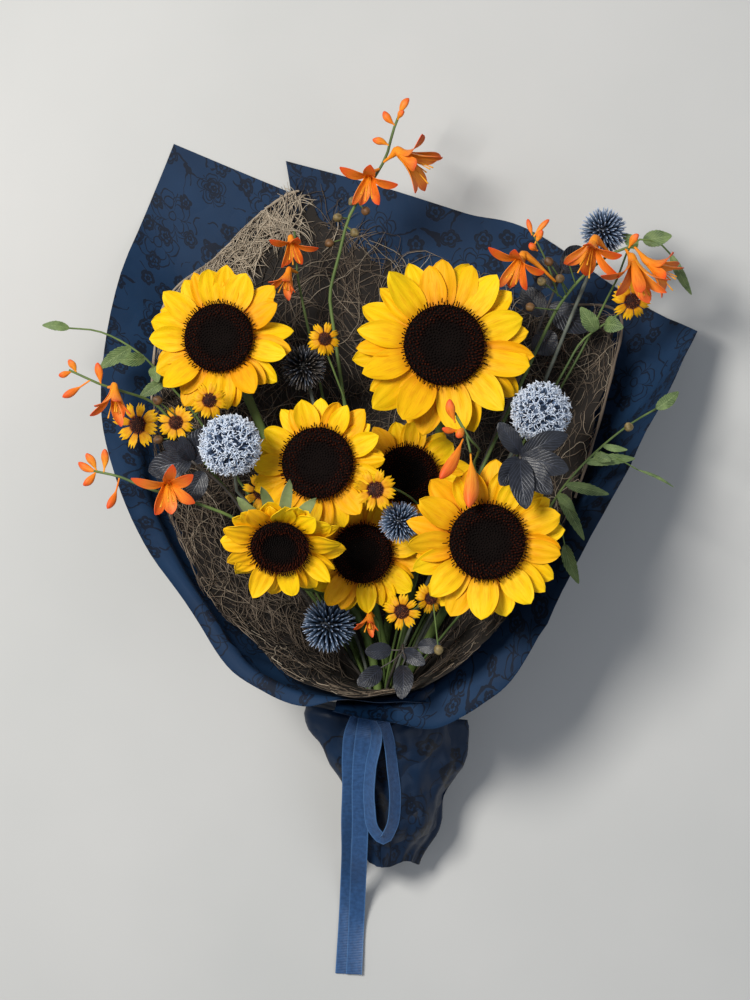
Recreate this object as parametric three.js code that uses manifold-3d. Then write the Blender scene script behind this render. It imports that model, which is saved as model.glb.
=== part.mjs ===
// A hand-tied bunch of sunflowers, lying on its back: seven sunflowers with globe thistles, crocosmia,
// coneflowers, dark foliage and green sprigs, bound with twine, wrapped in fibre net and two sheets of paper,
// and tied with ribbon.
// Millimetres. X runs across the bunch, +Y from the cut stems to the flower tips, and +Z up, the way the
// flowers face. The shapes are laid out from the surface under the binding; the finished bunch is then moved
// so that its origin is where its weight rests, on the flat back of the paper.
import * as THREE from "three";
import { mergeVertices } from "three/addons/utils/BufferGeometryUtils.js";
import Module from "manifold-3d";

const wasm = await Module();
wasm.setup();

// ---- Driving dimensions ----
// The binding's centre, and where its straight stretch starts and ends.
const NECK = { x: 0, z: 50, low: -3, high: 19 };
// Where the stems are cut, and how far the bundle slopes down to there.
const CUT_END = { y: -90, spread: 6, drop: 22 };
const REST_FROM_NECK = 170; // from the binding to the middle of the flat that the bunch lies on
const CLEAR = 0.4; // the gap between pieces that touch
const TWINE = { thick: 1.4, low: 5, high: 13 };
const NET = { thick: 0.8, fringe: 3, relief: 0.4 };
const PAPER = { thick: 1.0, pleat: 0.04, raggedness: 2, bow: 4 };
const RIBBON = { width: 12, thick: 0.8, low: 2 };
const PETAL = { thick: 1.4, width: 17.5 };
const THISTLE_CORE = 0.76; // the share of a globe thistle's radius that its florets stand on
const LEAF = { thick: 1.2, root: 1 };

const V = (x, y, z) => new THREE.Vector3(x, y, z);
const { sin, cos, PI, abs, max, min, sqrt, hypot, floor } = Math;
const turn = (degrees) => (degrees * PI) / 180;
const mix = (a, b, t) => a + (b - a) * t;

// A draw between 0 and 1 that is always the same for the same piece.
function draw(index, seed) {
  const wave = sin(index * 12.9898 + seed * 78.233) * 43758.5453;
  return wave - floor(wave);
}

// ---- Materials ----
const finish = (color, roughness = 0.7) => new THREE.MeshStandardMaterial({ color, roughness, metalness: 0 });
const yellow = finish(0xf7c20a, 0.55);
const seedBrown = finish(0x1c0d08, 0.9);
const stemGreen = finish(0x5d7a3a);
const thistleBlue = finish(0x8fa6c4, 0.6);
const crocosmiaOrange = finish(0xe8641f, 0.5);
const coneflowerYellow = finish(0xf0b90c, 0.6);
const leafDark = finish(0x2a2a33, 0.5);
const leafGreen = finish(0x6f8f52);
const fibre = finish(0x7a6a58, 0.9);
const paperBlue = finish(0x17365f, 0.45);
const ribbonBlue = finish(0x3e66a0, 0.4);
const twineBuff = finish(0xa08c66, 0.9);

const bunch = new THREE.Group();

// ---- Closed shapes ----
// One closed surface from points and triangles, turned inside out where its faces point inwards.
function closed(points, faces) {
  let volume = 0;
  for (const [a, b, c] of faces) volume += points[a].dot(points[b].clone().cross(points[c]));
  const index = faces.flatMap(([a, b, c]) => (volume < 0 ? [a, c, b] : [a, b, c]));
  const geometry = new THREE.BufferGeometry();
  geometry.setAttribute("position", new THREE.Float32BufferAttribute(points.flatMap((p) => p.toArray()), 3));
  geometry.setIndex(index);
  return geometry;
}

// A skin over rings of points, each end closed by a fan, or by a point where the ring there has only one.
function loft(rings) {
  const points = [];
  const first = rings.map((ring) => {
    points.push(...ring);
    return points.length - ring.length;
  });
  const faces = [];
  for (let k = 0; k + 1 < rings.length; k++) {
    const n = max(rings[k].length, rings[k + 1].length);
    for (let i = 0; i < n; i++) {
      const j = (i + 1) % n;
      const [a, b] = rings[k].length > 1 ? [first[k] + i, first[k] + j] : [first[k], first[k]];
      const ahead = first[k + 1];
      const [c, d] = rings[k + 1].length > 1 ? [ahead + i, ahead + j] : [ahead, ahead];
      if (a !== b) faces.push([a, b, d]);
      if (c !== d) faces.push([a, d, c]);
    }
  }
  const last = rings.length - 1;
  for (let i = 1; i + 1 < rings[0].length; i++) faces.push([first[0], first[0] + i + 1, first[0] + i]);
  for (let i = 1; i + 1 < rings[last].length; i++) faces.push([first[last], first[last] + i, first[last] + i + 1]);
  return closed(points, faces);
}

// A round stalk along points, with a radius at each, in flat facets.
function tube(path, radii, sides) {
  let side = V(1, 0, 0);
  const rings = path.map((point, k) => {
    const ahead = path[min(k + 1, path.length - 1)].clone().sub(path[max(k - 1, 0)]).normalize();
    side = side.sub(ahead.clone().multiplyScalar(side.dot(ahead)));
    if (side.lengthSq() < 1e-4) side = V(0, 0, 1).cross(ahead);
    side.normalize();
    const up = ahead.clone().cross(side);
    const radius = Array.isArray(radii) ? radii[k] : radii;
    return Array.from({ length: sides }, (_, i) => {
      const angle = (2 * PI * i) / sides;
      return point.clone().addScaledVector(side, radius * cos(angle)).addScaledVector(up, radius * sin(angle));
    });
  });
  return loft(rings);
}

// A petal or leaf along +X: flat below and ridged above, as rows of three points and its tip.
// Each row is [share of length, width]; tilt is its slope, curl what the slope gains towards the tip,
// arch how far its edges hang below its middle, and rise the height of its root.
function bladeRows({ length, rows, thick, tilt = 0, curl = 0, arch = 0.15, rise = 0 }) {
  const made = rows.map(([s, width]) => {
    const x = length * s;
    const z = rise + length * (tilt * s + curl * s * s);
    const edge = z - (arch * width) / 2;
    return [V(x, width / 2, edge), V(x, 0, z + thick / 2), V(x, -width / 2, edge)];
  });
  return [...made, [V(length, 0, rise + length * (tilt + curl))]];
}

// Blades set round a drum, all in one skin. above and below are rings [radius, height] that close the drum's ends.
function crown({ count, radius, foot, top, bladeAt, above, below }) {
  const points = [];
  const faces = [];
  const put = (point) => points.push(point) - 1;
  const spun = (point, step) => point.applyAxisAngle(V(0, 0, 1), (2 * PI * step) / count);
  const ring = (r, z) => {
    if (r === 0) return [put(V(0, 0, z))];
    return Array.from({ length: count }, (_, i) => put(spun(V(r, 0, z), i - 0.5)));
  };
  const low = ring(radius / cos(PI / count), foot);
  const high = ring(radius / cos(PI / count), top);
  for (let i = 0; i < count; i++) {
    const j = (i + 1) % count;
    const set = (point) => put(spun(point.add(V(radius, 0, 0)), i));
    const rows = bladeAt(i).map((row) => row.map(set));
    const [left, ridge, right] = rows[0];
    faces.push([low[i], low[j], left], [low[i], left, right], [low[j], high[j], left], [high[j], ridge, left]);
    faces.push([high[j], high[i], ridge], [high[i], right, ridge], [high[i], low[i], right]);
    for (let k = 0; k + 1 < rows.length; k++)
      for (const [a, b] of [[2, 0], [0, 1], [1, 2]]) {
        if (rows[k + 1].length === 1) faces.push([rows[k][a], rows[k][b], rows[k + 1][0]]);
        else faces.push([rows[k][a], rows[k][b], rows[k + 1][b]], [rows[k][a], rows[k + 1][b], rows[k + 1][a]]);
      }
  }
  const close = (from, rings, turned) => {
    let last = from;
    for (const [r, z] of rings) {
      const next = ring(r, z);
      for (let i = 0; i < count; i++) {
        const [a, b] = turned ? [(i + 1) % count, i] : [i, (i + 1) % count];
        if (next.length === 1) faces.push([last[a], last[b], next[0]]);
        else faces.push([last[a], last[b], next[b]], [last[a], next[b], next[a]]);
      }
      last = next;
    }
  };
  close(high, above, false);
  close(low, below, true);
  return closed(points, faces);
}

// The placing of a piece whose own +Z points along facing, spun about it.
function placed(at, facing, spin = 0) {
  const turned = new THREE.Quaternion().setFromUnitVectors(V(0, 0, 1), facing.clone().normalize());
  turned.multiply(new THREE.Quaternion().setFromAxisAngle(V(0, 0, 1), spin));
  return new THREE.Matrix4().compose(at, turned, V(1, 1, 1));
}

// The placing of a blade whose length runs along heading, with its face as near up as it can be.
function aimed(at, heading, up = V(0, 0, 1)) {
  const x = heading.clone().normalize();
  const y = up.clone().cross(x).normalize();
  return new THREE.Matrix4().makeBasis(x, y, x.clone().cross(y)).setPosition(at);
}

// ---- Joining ----
function solid(geometry) {
  const bare = geometry.clone();
  for (const name of Object.keys(bare.attributes)) if (name !== "position") bare.deleteAttribute(name);
  const merged = mergeVertices(bare, 1e-4);
  const made = new wasm.Mesh({
    numProp: 3,
    vertProperties: new Float32Array(merged.attributes.position.array),
    triVerts: new Uint32Array(merged.index.array),
  });
  return new wasm.Manifold(made);
}

// One body from several that are sunk into each other.
function fused(geometries) {
  const whole = geometries.map(solid).reduce((sum, next) => sum.add(next));
  const mesh = whole.getMesh();
  const geometry = new THREE.BufferGeometry();
  geometry.setAttribute("position", new THREE.BufferAttribute(mesh.vertProperties, 3));
  geometry.setIndex(new THREE.BufferAttribute(mesh.triVerts, 1));
  return geometry;
}

function add(name, geometry, material) {
  const mesh = new THREE.Mesh(geometry, material);
  mesh.name = name;
  bunch.add(mesh);
}

// ---- What stands where ----
// Sunflowers: centre, the way the face looks, petal reach and disc radius.
const SUNFLOWERS = {
  a: { at: V(-117, 270, 105), face: V(-0.1, 0.12, 1), reach: 52, disc: 25.5, petals: 18 },
  b: { at: V(41, 264, 120), face: V(0.06, 0.06, 1), reach: 64, disc: 29.5, petals: 20 },
  c: { at: V(-46, 181, 158), face: V(-0.1, 0.05, 1), reach: 47, disc: 25.5, petals: 18 },
  d: { at: V(16, 173, 94), face: V(0.1, 0.3, 1), reach: 45, disc: 22, petals: 16 },
  e: { at: V(68, 128, 184), face: V(0.04, 0, 1), reach: 54, disc: 25.5, petals: 18 },
  f: { at: V(-71, 126, 186), face: V(-0.06, -0.6, 1), reach: 43, disc: 19.5, petals: 16 },
  g: { at: V(-16, 119, 126), face: V(0, -0.1, 1), reach: 44, disc: 21.5, petals: 16 },
};
// Globe thistles: centre and radius out to the floret tips.
const THISTLES = {
  a: { at: V(-58, 251, 80), radius: 17, face: V(-0.1, 0.4, 1) },
  b: { at: V(-105, 193, 182), radius: 21.5, face: V(-0.3, 0.2, 1) },
  c: { at: V(106, 216, 160), radius: 21, face: V(0.3, 0.2, 1) },
  d: { at: V(10, 141, 160), radius: 15, face: V(0, 0, 1) },
  e: { at: V(-40, 67, 98), radius: 20, face: V(-0.1, -0.4, 1) },
  f: { at: V(156, 348, 85), radius: 16.5, face: V(0.3, 1.2, 0.8) },
};
// Sprays: the stalk from its tip down to where it runs into the bunch, and what stands on it.
// flower and bud are crocosmia, daisy is a coneflower, pod a seed capsule, and leaf a blade from base to tip.
const SPRAYS = {
  crocosmia_a: {
    material: crocosmiaOrange,
    radius: 1.3,
    stalk: [
      V(10, 431, 84), V(6, 421, 82), V(1, 403, 78), V(-9, 386, 72),
      V(-25, 363, 62), V(-33, 335, 56), V(-40, 300, 50),
    ],
    items: [
      ["bud", V(10, 431, 84), V(17, 443, 86)],
      ["bud", V(9, 428, 84), V(13, 433, 91)],
      ["bud", V(7, 424, 83), V(-1, 434, 84)],
      ["bud", V(3, 410, 80), V(-9, 414, 82)],
      ["flower", V(-2, 398, 76), V(18, 411, 90), 27],
      ["flower", V(-4, 394, 75), V(-13, 382, 90), 21],
      ["pod", V(-12, 381, 70), V(-23, 371, 73)],
      ["pod", V(-20, 371, 66), V(-14, 364, 74)],
      ["pod", V(-26, 360, 61), V(-34, 360, 66)],
      ["pod", V(-28, 354, 60), V(-22, 349, 67)],
      ["pod", V(-31, 345, 58), V(-40, 342, 62)],
    ],
  },
  crocosmia_b: {
    material: crocosmiaOrange,
    radius: 1.3,
    stalk: [V(178, 336, 106), V(164, 332, 102), V(146, 320, 92), V(128, 300, 80), V(112, 270, 68)],
    items: [
      ["bud", V(172, 334, 105), V(178, 343, 112)],
      ["flower", V(160, 330, 100), V(145, 334, 118), 23],
      ["flower", V(170, 333, 104), V(183, 314, 116), 25],
      ["flower", V(176, 335, 105), V(203, 324, 108), 19],
      ["flower", V(128, 300, 80), V(96, 326, 92), 22],
      ["bud", V(122, 306, 82), V(102, 352, 84)],
      ["bud", V(122, 306, 82), V(113, 358, 88)],
      ["bud", V(122, 306, 82), V(118, 349, 91)],
      ["pod", V(136, 310, 86), V(130, 326, 94)],
      ["pod", V(120, 286, 74), V(103, 290, 84)],
    ],
  },
  crocosmia_c: {
    material: crocosmiaOrange,
    radius: 1.1,
    stalk: [V(-219, 246, 138), V(-206, 240, 140), V(-197, 236, 139), V(-184, 232, 134), V(-160, 222, 112)],
    items: [
      ["bud", V(-217, 245, 138), V(-226, 242, 140)],
      ["bud", V(-214, 244, 138), V(-219, 253, 141)],
      ["bud", V(-204, 239, 140), V(-223, 227, 143)],
      ["bud", V(-197, 236, 139), V(-199, 251, 142)],
      ["flower", V(-192, 234, 138), V(-185, 223, 147), 20],
    ],
  },
  crocosmia_d: {
    material: crocosmiaOrange,
    radius: 1.2,
    stalk: [
      V(-201, 176, 146), V(-183, 172, 148), V(-166, 165, 150),
      V(-147, 159, 150), V(-125, 152, 148), V(-104, 143, 142),
    ],
    items: [
      ["bud", V(-199, 176, 146), V(-206, 188, 149)],
      ["bud", V(-198, 175, 146), V(-212, 182, 143)],
      ["bud", V(-199, 176, 146), V(-208, 166, 148)],
      ["bud", V(-194, 175, 147), V(-193, 191, 151)],
      ["bud", V(-183, 172, 148), V(-191, 150, 152)],
      ["flower", V(-150, 160, 150), V(-150, 165, 166), 20],
    ],
  },
  crocosmia_e: {
    material: crocosmiaOrange,
    radius: 1.0,
    stalk: [
      V(47, 215, 176), V(51, 207, 184), V(56, 198, 186),
      V(62, 192, 174), V(64, 188, 140), V(64, 176, 108),
    ],
    items: [
      ["bud", V(48, 213, 178), V(45, 226, 181)],
      ["bud", V(53, 203, 185), V(42, 178, 203)],
      ["bud", V(58, 197, 184), V(55, 158, 205)],
      ["bud", V(50, 209, 182), V(38, 206, 186)],
    ],
  },
  crocosmia_f: {
    material: crocosmiaOrange,
    radius: 1.1,
    stalk: [V(-66, 352, 50), V(-65, 340, 49), V(-64, 322, 48), V(-60, 300, 46)],
    items: [
      ["flower", V(-65, 344, 50), V(-73, 346, 60), 17],
      ["flower", V(-64, 322, 48), V(-68, 322, 60), 18],
    ],
  },
  crocosmia_g: {
    material: crocosmiaOrange,
    radius: 1.0,
    stalk: [V(-8, 74, 116), V(-7, 74, 108), V(-5, 70, 96)],
    items: [["flower", V(-8, 74, 115), V(-13, 67, 126), 17]],
  },
  coneflower_a: {
    material: coneflowerYellow,
    radius: 0.9,
    stalk: [V(-146, 210, 124), V(-140, 208, 118), V(-128, 202, 108)],
    items: [
      ["daisy", V(-146, 210, 125), V(-0.1, 0.1, 1), 14],
      ["daisy", V(-122, 225, 138), V(0.2, 0.1, 1), 14, V(-140, 208, 118)],
      ["daisy", V(-174, 209, 110), V(-0.4, -0.1, 1), 18, V(-134, 205, 113)],
      ["pod", V(-128, 202, 108), V(-158, 198, 128)],
      ["pod", V(-135, 205, 114), V(-158, 225, 136)],
    ],
  },
  coneflower_b: {
    material: coneflowerYellow,
    radius: 0.9,
    stalk: [V(-43, 270, 98), V(-43, 268, 90), V(-42, 262, 80)],
    items: [["daisy", V(-43, 270, 99), V(0.3, 0.1, 1), 13]],
  },
  coneflower_c: {
    material: coneflowerYellow,
    radius: 0.9,
    stalk: [V(-7, 163, 176), V(-3, 163, 166), V(5, 164, 150)],
    items: [["daisy", V(-7, 163, 177), V(0, 0, 1), 16]],
  },
  coneflower_d: {
    material: coneflowerYellow,
    radius: 0.9,
    stalk: [V(11, 80, 158), V(12, 79, 150), V(14, 76, 132)],
    items: [
      ["daisy", V(11, 80, 159), V(0, -0.15, 1), 14],
      ["daisy", V(31, 88, 143), V(0.3, 0, 1), 12, V(14, 76, 132)],
      ["pod", V(14, 76, 134), V(58, 76, 140)],
    ],
  },
  coneflower_e: {
    material: coneflowerYellow,
    radius: 1.0,
    stalk: [V(176, 298, 88), V(168, 290, 82), V(140, 268, 66)],
    items: [
      ["daisy", V(176, 298, 89), V(0.1, -0.3, 1), 16],
      ["leaf", V(152, 278, 73), V(140, 294, 82), 12, leafGreen],
      ["leaf", V(158, 282, 76), V(170, 279, 88), 12, leafGreen],
    ],
  },
  coneflower_f: {
    material: coneflowerYellow,
    radius: 0.9,
    stalk: [V(-87, 162, 116), V(-86, 159, 108), V(-82, 152, 96)],
    items: [["daisy", V(-87, 162, 117), V(-0.2, -0.1, 1), 15]],
  },
  dark_foliage_a: {
    material: leafDark,
    radius: 1.2,
    stalk: [V(90, 184, 194), V(91, 187, 180), V(90, 188, 150), V(84, 176, 120)],
    items: [
      ["leaf", V(90, 184, 193), V(76, 166, 202), 15],
      ["leaf", V(90, 184, 193), V(93, 150, 207), 17],
      ["leaf", V(90, 184, 193), V(110, 160, 204), 17],
      ["leaf", V(90, 184, 191), V(122, 176, 198), 17],
      ["leaf", V(90, 185, 190), V(122, 200, 190), 15],
      ["leaf", V(91, 187, 182), V(76, 208, 186), 13],
    ],
  },
  dark_foliage_b: {
    material: leafDark,
    radius: 1.2,
    stalk: [V(-134, 183, 140), V(-128, 178, 134), V(-112, 164, 122)],
    items: [
      ["leaf", V(-134, 183, 139), V(-164, 176, 138), 20],
      ["leaf", V(-134, 183, 139), V(-153, 196, 146), 12],
      ["leaf", V(-134, 183, 139), V(-141, 200, 150), 11],
      ["leaf", V(-132, 181, 137), V(-124, 206, 142), 20],
      ["leaf", V(-126, 176, 132), V(-138, 154, 134), 16],
    ],
  },
  dark_foliage_c: {
    material: leafDark,
    radius: 1.3,
    stalk: [V(128, 322, 70), V(122, 306, 64), V(112, 282, 58), V(100, 250, 50)],
    items: [
      ["leaf", V(118, 297, 61), V(148, 279, 62), 20],
      ["leaf", V(127, 320, 69), V(106, 320, 66), 22],
      ["leaf", V(127, 320, 69), V(146, 338, 56), 18],
      ["leaf", V(115, 290, 60), V(100, 310, 56), 18],
      ["leaf", V(110, 277, 57), V(122, 262, 62), 20],
    ],
  },
  dark_foliage_d: {
    material: leafDark,
    radius: 1.1,
    stalk: [V(12, 52, 152), V(12, 54, 144), V(12, 54, 118)],
    items: [
      ["leaf", V(12, 52, 151), V(11, 21, 171), 16],
      ["leaf", V(12, 52, 150), V(-19, 30, 166), 15],
      ["leaf", V(12, 53, 146), V(-14, 54, 154), 14],
      ["leaf", V(12, 52, 150), V(34, 46, 160), 13],
      ["leaf", V(12, 54, 144), V(28, 62, 138), 12],
    ],
  },
  green_sprig_a: {
    material: leafGreen,
    radius: 0.9,
    stalk: [V(190, 220, 116), V(176, 212, 118), V(152, 194, 122), V(126, 167, 122), V(112, 146, 114)],
    items: [
      ["leaf", V(190, 220, 116), V(206, 232, 114), 9],
      ["pod", V(172, 210, 118), V(170, 207, 124)],
      ["leaf", V(152, 194, 122), V(169, 191, 124), 5],
      ["leaf", V(146, 188, 122), V(157, 183, 130), 7],
      ["leaf", V(140, 182, 122), V(175, 185, 118), 8],
      ["leaf", V(126, 167, 122), V(156, 160, 126), 8],
      ["leaf", V(121, 160, 120), V(132, 148, 130), 7],
      ["leaf", V(121, 160, 120), V(138, 128, 134), 8],
      ["leaf", V(116, 152, 117), V(134, 98, 136), 9, null, 30],
    ],
  },
  green_sprig_b: {
    material: leafGreen,
    radius: 0.9,
    stalk: [V(203, 331, 92), V(196, 338, 92), V(183, 342, 88), V(166, 312, 66), V(142, 262, 48)],
    items: [
      ["leaf", V(184, 341, 88), V(204, 344, 92), 12],
      ["leaf", V(180, 336, 85), V(170, 346, 84), 9],
      ["leaf", V(203, 331, 92), V(218, 302, 92), 7],
    ],
  },
  green_sprig_c: {
    material: leafGreen,
    radius: 0.9,
    stalk: [
      V(-226, 279, 82), V(-206, 277, 82), V(-186, 268, 81),
      V(-170, 256, 79), V(-158, 242, 75), V(-138, 219, 68),
    ],
    items: [
      ["leaf", V(-226, 279, 82), V(-245, 281, 84), 7],
      ["leaf", V(-182, 265, 81), V(-204, 250, 86), 10],
      ["leaf", V(-172, 257.5, 79.2), V(-192, 256, 90), 10],
      ["leaf", V(-166, 251.3, 77.7), V(-162, 240, 88), 10],
      ["leaf", V(-158, 242, 75), V(-176, 230, 78), 9],
    ],
  },
};

// ---- The stems' routes ----
// Every stem runs from its flower down through the binding to its cut end.
const stems = [];
for (const [key, flower] of Object.entries(SUNFLOWERS)) {
  const back = flower.face.clone().normalize().negate();
  stems.push({ name: "sunflower_" + key, radius: 4, top: [flower.at.clone().addScaledVector(back, 12)], back });
}
for (const [key, thistle] of Object.entries(THISTLES)) {
  const back = thistle.face.clone().normalize().negate();
  const below = thistle.radius * THISTLE_CORE + CLEAR;
  const points = [below, below + 9].map((down) => thistle.at.clone().addScaledVector(back, down));
  stems.push({ name: "globe_thistle_" + key, radius: 2, top: points, back });
}
for (const [name, spray] of Object.entries(SPRAYS)) {
  const last = spray.stalk.length - 1;
  const back = spray.stalk[last].clone().sub(spray.stalk[last - 1]).normalize();
  stems.push({ name, radius: spray.radius, top: spray.stalk, back });
}

// Where each stem passes the binding: side by side as the flowers stand, then drawn together until they touch.
function packSlots() {
  for (const stem of stems) {
    const head = stem.top[stem.top.length - 1];
    const ahead = head.y - NECK.high;
    const aside = Math.atan2(head.x, hypot(ahead, head.z - NECK.z));
    const upward = Math.atan2(head.z - NECK.z, ahead);
    stem.slot = { x: 22 * aside, z: 26 * (upward - 0.6) };
  }
  const rounds = 900;
  for (let round = 0; round < rounds; round++) {
    const pull = round < rounds - 150 ? 0.996 : 1;
    for (const { slot } of stems) {
      slot.x *= pull;
      slot.z *= pull;
    }
    stems.forEach((one, i) =>
      stems.slice(i + 1).forEach((other) => {
        const dx = other.slot.x - one.slot.x;
        const dz = other.slot.z - one.slot.z;
        const apart = hypot(dx, dz) || 1e-3;
        const push = (one.radius + other.radius + CLEAR - apart) / 2 / apart;
        if (push > 0) {
          one.slot.x -= dx * push;
          one.slot.z -= dz * push;
          other.slot.x += dx * push;
          other.slot.z += dz * push;
        }
      }),
    );
  }
}
packSlots();

// A first route for each stem, on a smooth curve from its flower to its slot in the binding.
const ROUTE_STEPS = 6;
for (const stem of stems) {
  const head = stem.top[stem.top.length - 1];
  const gate = V(NECK.x + stem.slot.x, NECK.high + 1, NECK.z + stem.slot.z);
  const span = head.distanceTo(gate);
  const first = head.clone().addScaledVector(stem.back, span * 0.3);
  const second = gate.clone().add(V((head.x - gate.x) * 0.12, span * 0.25, (head.z - gate.z) * 0.12));
  const curve = new THREE.CubicBezierCurve3(head, first, second, gate);
  stem.route = curve.getPoints(ROUTE_STEPS);
}

// The nearest points of two short straight stretches, as shares along each.
function nearest(p1, q1, p2, q2) {
  const d1 = q1.clone().sub(p1);
  const d2 = q2.clone().sub(p2);
  const r = p1.clone().sub(p2);
  const a = d1.lengthSq() + 1e-9;
  const e = d2.lengthSq() + 1e-9;
  const b = d1.dot(d2);
  const c = d1.dot(r);
  const f = d2.dot(r);
  const bottom = a * e - b * b;
  const clamp = (x) => min(1, max(0, x));
  let s = bottom > 1e-9 ? clamp((b * f - c * e) / bottom) : 0;
  let t = clamp((b * s + f) / e);
  s = clamp((b * t - c) / a);
  t = clamp((b * s + f) / e);
  return [s, t];
}

// Stems that would cross are eased apart, and pushed behind the flowers that they pass.
const CLEAR_OF_NET = 6;
function easeApart() {
  const discs = Object.entries(SUNFLOWERS).map(([key, flower]) => ({
    owner: "sunflower_" + key,
    at: flower.at,
    face: flower.face.clone().normalize(),
    reach: flower.reach + 7,
    behind: 5,
    calyx: flower.disc + 3,
    calyxBehind: 15,
  }));
  const bars = [];
  const bar = (owner, from, to, reach) => bars.push({ owner, from, to, reach });
  for (const [key, { at, radius }] of Object.entries(THISTLES)) bar("globe_thistle_" + key, at, at, radius + 2);
  const ITEM_REACH = { leaf: 6, daisy: 9, flower: 9, bud: 4, pod: 5 };
  for (const stem of stems) {
    stem.top.slice(1).forEach((point, k) => bar(stem.name, stem.top[k], point, stem.radius + 1.5));
    for (const [kind, from, to] of SPRAYS[stem.name]?.items ?? [])
      bar(stem.name, from, kind === "daisy" ? from : to, ITEM_REACH[kind]);
  }
  for (let round = 0; round < 260; round++) {
    for (const stem of stems) {
      for (let k = 1; k < ROUTE_STEPS; k++) {
        const middle = stem.route[k - 1].clone().add(stem.route[k + 1]).multiplyScalar(0.5);
        if (round < 200) stem.route[k].lerp(middle, 0.08);
      }
    }
    stems.forEach((one, i) =>
      stems.slice(i + 1).forEach((other) => {
        for (let k = 0; k < ROUTE_STEPS; k++)
          for (let m = 0; m < ROUTE_STEPS; m++) {
            const [p1, q1, p2, q2] = [one.route[k], one.route[k + 1], other.route[m], other.route[m + 1]];
            const wanted = one.radius + other.radius + 1;
            if (abs(p1.y + q1.y - p2.y - q2.y) > 90 || abs(p1.x + q1.x - p2.x - q2.x) > 90) continue;
            const [s, t] = nearest(p1, q1, p2, q2);
            const apart = p2.clone().lerp(q2, t).sub(p1.clone().lerp(q1, s));
            const gap = apart.length();
            if (gap >= wanted || gap < 1e-6) continue;
            const push = apart.multiplyScalar((wanted - gap) / gap / 2);
            if (k > 0) p1.addScaledVector(push, -(1 - s));
            if (k + 1 < ROUTE_STEPS) q1.addScaledVector(push, -s);
            if (m > 0) p2.addScaledVector(push, 1 - t);
            if (m + 1 < ROUTE_STEPS) q2.addScaledVector(push, t);
          }
      }),
    );
    for (const stem of stems)
      for (let k = 1; k < ROUTE_STEPS; k++) {
        const here = stem.route[k];
        for (const share of [0, 0.25, 0.5, 0.75]) {
          const point = here.clone().lerp(stem.route[k - 1], share);
          const others = (piece) => piece.owner !== stem.name;
          for (const disc of discs.filter(others)) here.add(pushFromDisc(disc, point, stem.radius));
          for (const bar of bars.filter(others)) here.add(pushFromBar(bar, point, stem.radius));
        }
        here.z = max(here.z, CLEAR_OF_NET + stem.radius);
      }
  }
}

// Stems are pushed clear of thistles, leaves and other stalks.
function pushFromBar({ from, to, reach }, point, radius) {
  const along = to.clone().sub(from);
  const share = min(1, max(0, point.clone().sub(from).dot(along) / (along.lengthSq() + 1e-9)));
  const away = point.clone().sub(from.clone().addScaledVector(along, share));
  const lacking = reach + radius - away.length();
  return lacking > 0 ? away.setLength(lacking * 0.35) : V(0, 0, 0);
}

// Level with a flower's petals a stem is pushed out past them, and behind the flower it is pushed further back.
function pushFromDisc(disc, point, radius) {
  const from = point.clone().sub(disc.at);
  const height = from.dot(disc.face);
  const outward = from.addScaledVector(disc.face, -height);
  const out = outward.length();
  const behind = (out < disc.calyx ? disc.calyxBehind : disc.behind) + radius;
  const reach = disc.reach + radius;
  if (out > reach || height < -behind || height > 16) return V(0, 0, 0);
  if (height > -behind * 0.5 && out > disc.calyx) return outward.setLength((reach - out) * 0.15);
  return disc.face.clone().multiplyScalar(-(height + behind) * 0.3);
}
easeApart();

// The whole stem, from the tip of its stalk to the cut.
for (const [i, stem] of stems.entries()) {
  const { x, z } = stem.slot;
  const y = CUT_END.y + CUT_END.spread * (draw(i, 3) - 0.5);
  const cut = V(NECK.x + x, y, NECK.z + z - (CUT_END.drop * (NECK.low - y)) / (NECK.low - CUT_END.y));
  stem.path = [...stem.top, ...stem.route.slice(1), V(NECK.x + x, NECK.low, NECK.z + z), cut];
}
const stemOf = Object.fromEntries(stems.map((stem) => [stem.name, stem]));

// ---- The binding's outline ----
// How far the bundle reaches from the binding's centre: the tight loop round all the stems, let out by `more`.
const LOOP_SIDES = 30;
const supports = Array.from({ length: LOOP_SIDES }, (_, k) => {
  const angle = (2 * PI * k) / LOOP_SIDES;
  return { angle, reach: max(...stems.map((s) => s.slot.x * sin(angle) + s.slot.z * cos(angle) + s.radius)) };
});
function loopRadius(angle, more) {
  const facing = supports.filter((s) => cos(angle - s.angle) > 0.2);
  return min(...facing.map((s) => (s.reach + more) / cos(angle - s.angle)));
}
// A point of that loop: angle 0 is the front, +Z, and 90 degrees the right, +X.
const onLoop = (angle, more, y) =>
  V(NECK.x + loopRadius(angle, more) * sin(angle), y, NECK.z + loopRadius(angle, more) * cos(angle));

// A band round the neck, from one loop to a wider one.
function band(inner, outer, low, high) {
  const ring = (more, y) => Array.from({ length: LOOP_SIDES }, (_, k) => onLoop((2 * PI * k) / LOOP_SIDES, more, y));
  return sleeve([ring(inner, low), ring(outer, low), ring(outer, high), ring(inner, high)]);
}

// A ring-shaped body: the skin over rings that close on themselves both ways.
function sleeve(rings) {
  const n = rings[0].length;
  const faces = [];
  rings.forEach((_, k) => {
    const next = (k + 1) % rings.length;
    for (let i = 0; i < n; i++) {
      const j = (i + 1) % n;
      faces.push([k * n + i, k * n + j, next * n + j], [k * n + i, next * n + j, next * n + i]);
    }
  });
  return closed(rings.flat(), faces);
}

add("binding_twine", band(CLEAR, CLEAR + TWINE.thick, TWINE.low, TWINE.high), twineBuff);

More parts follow.
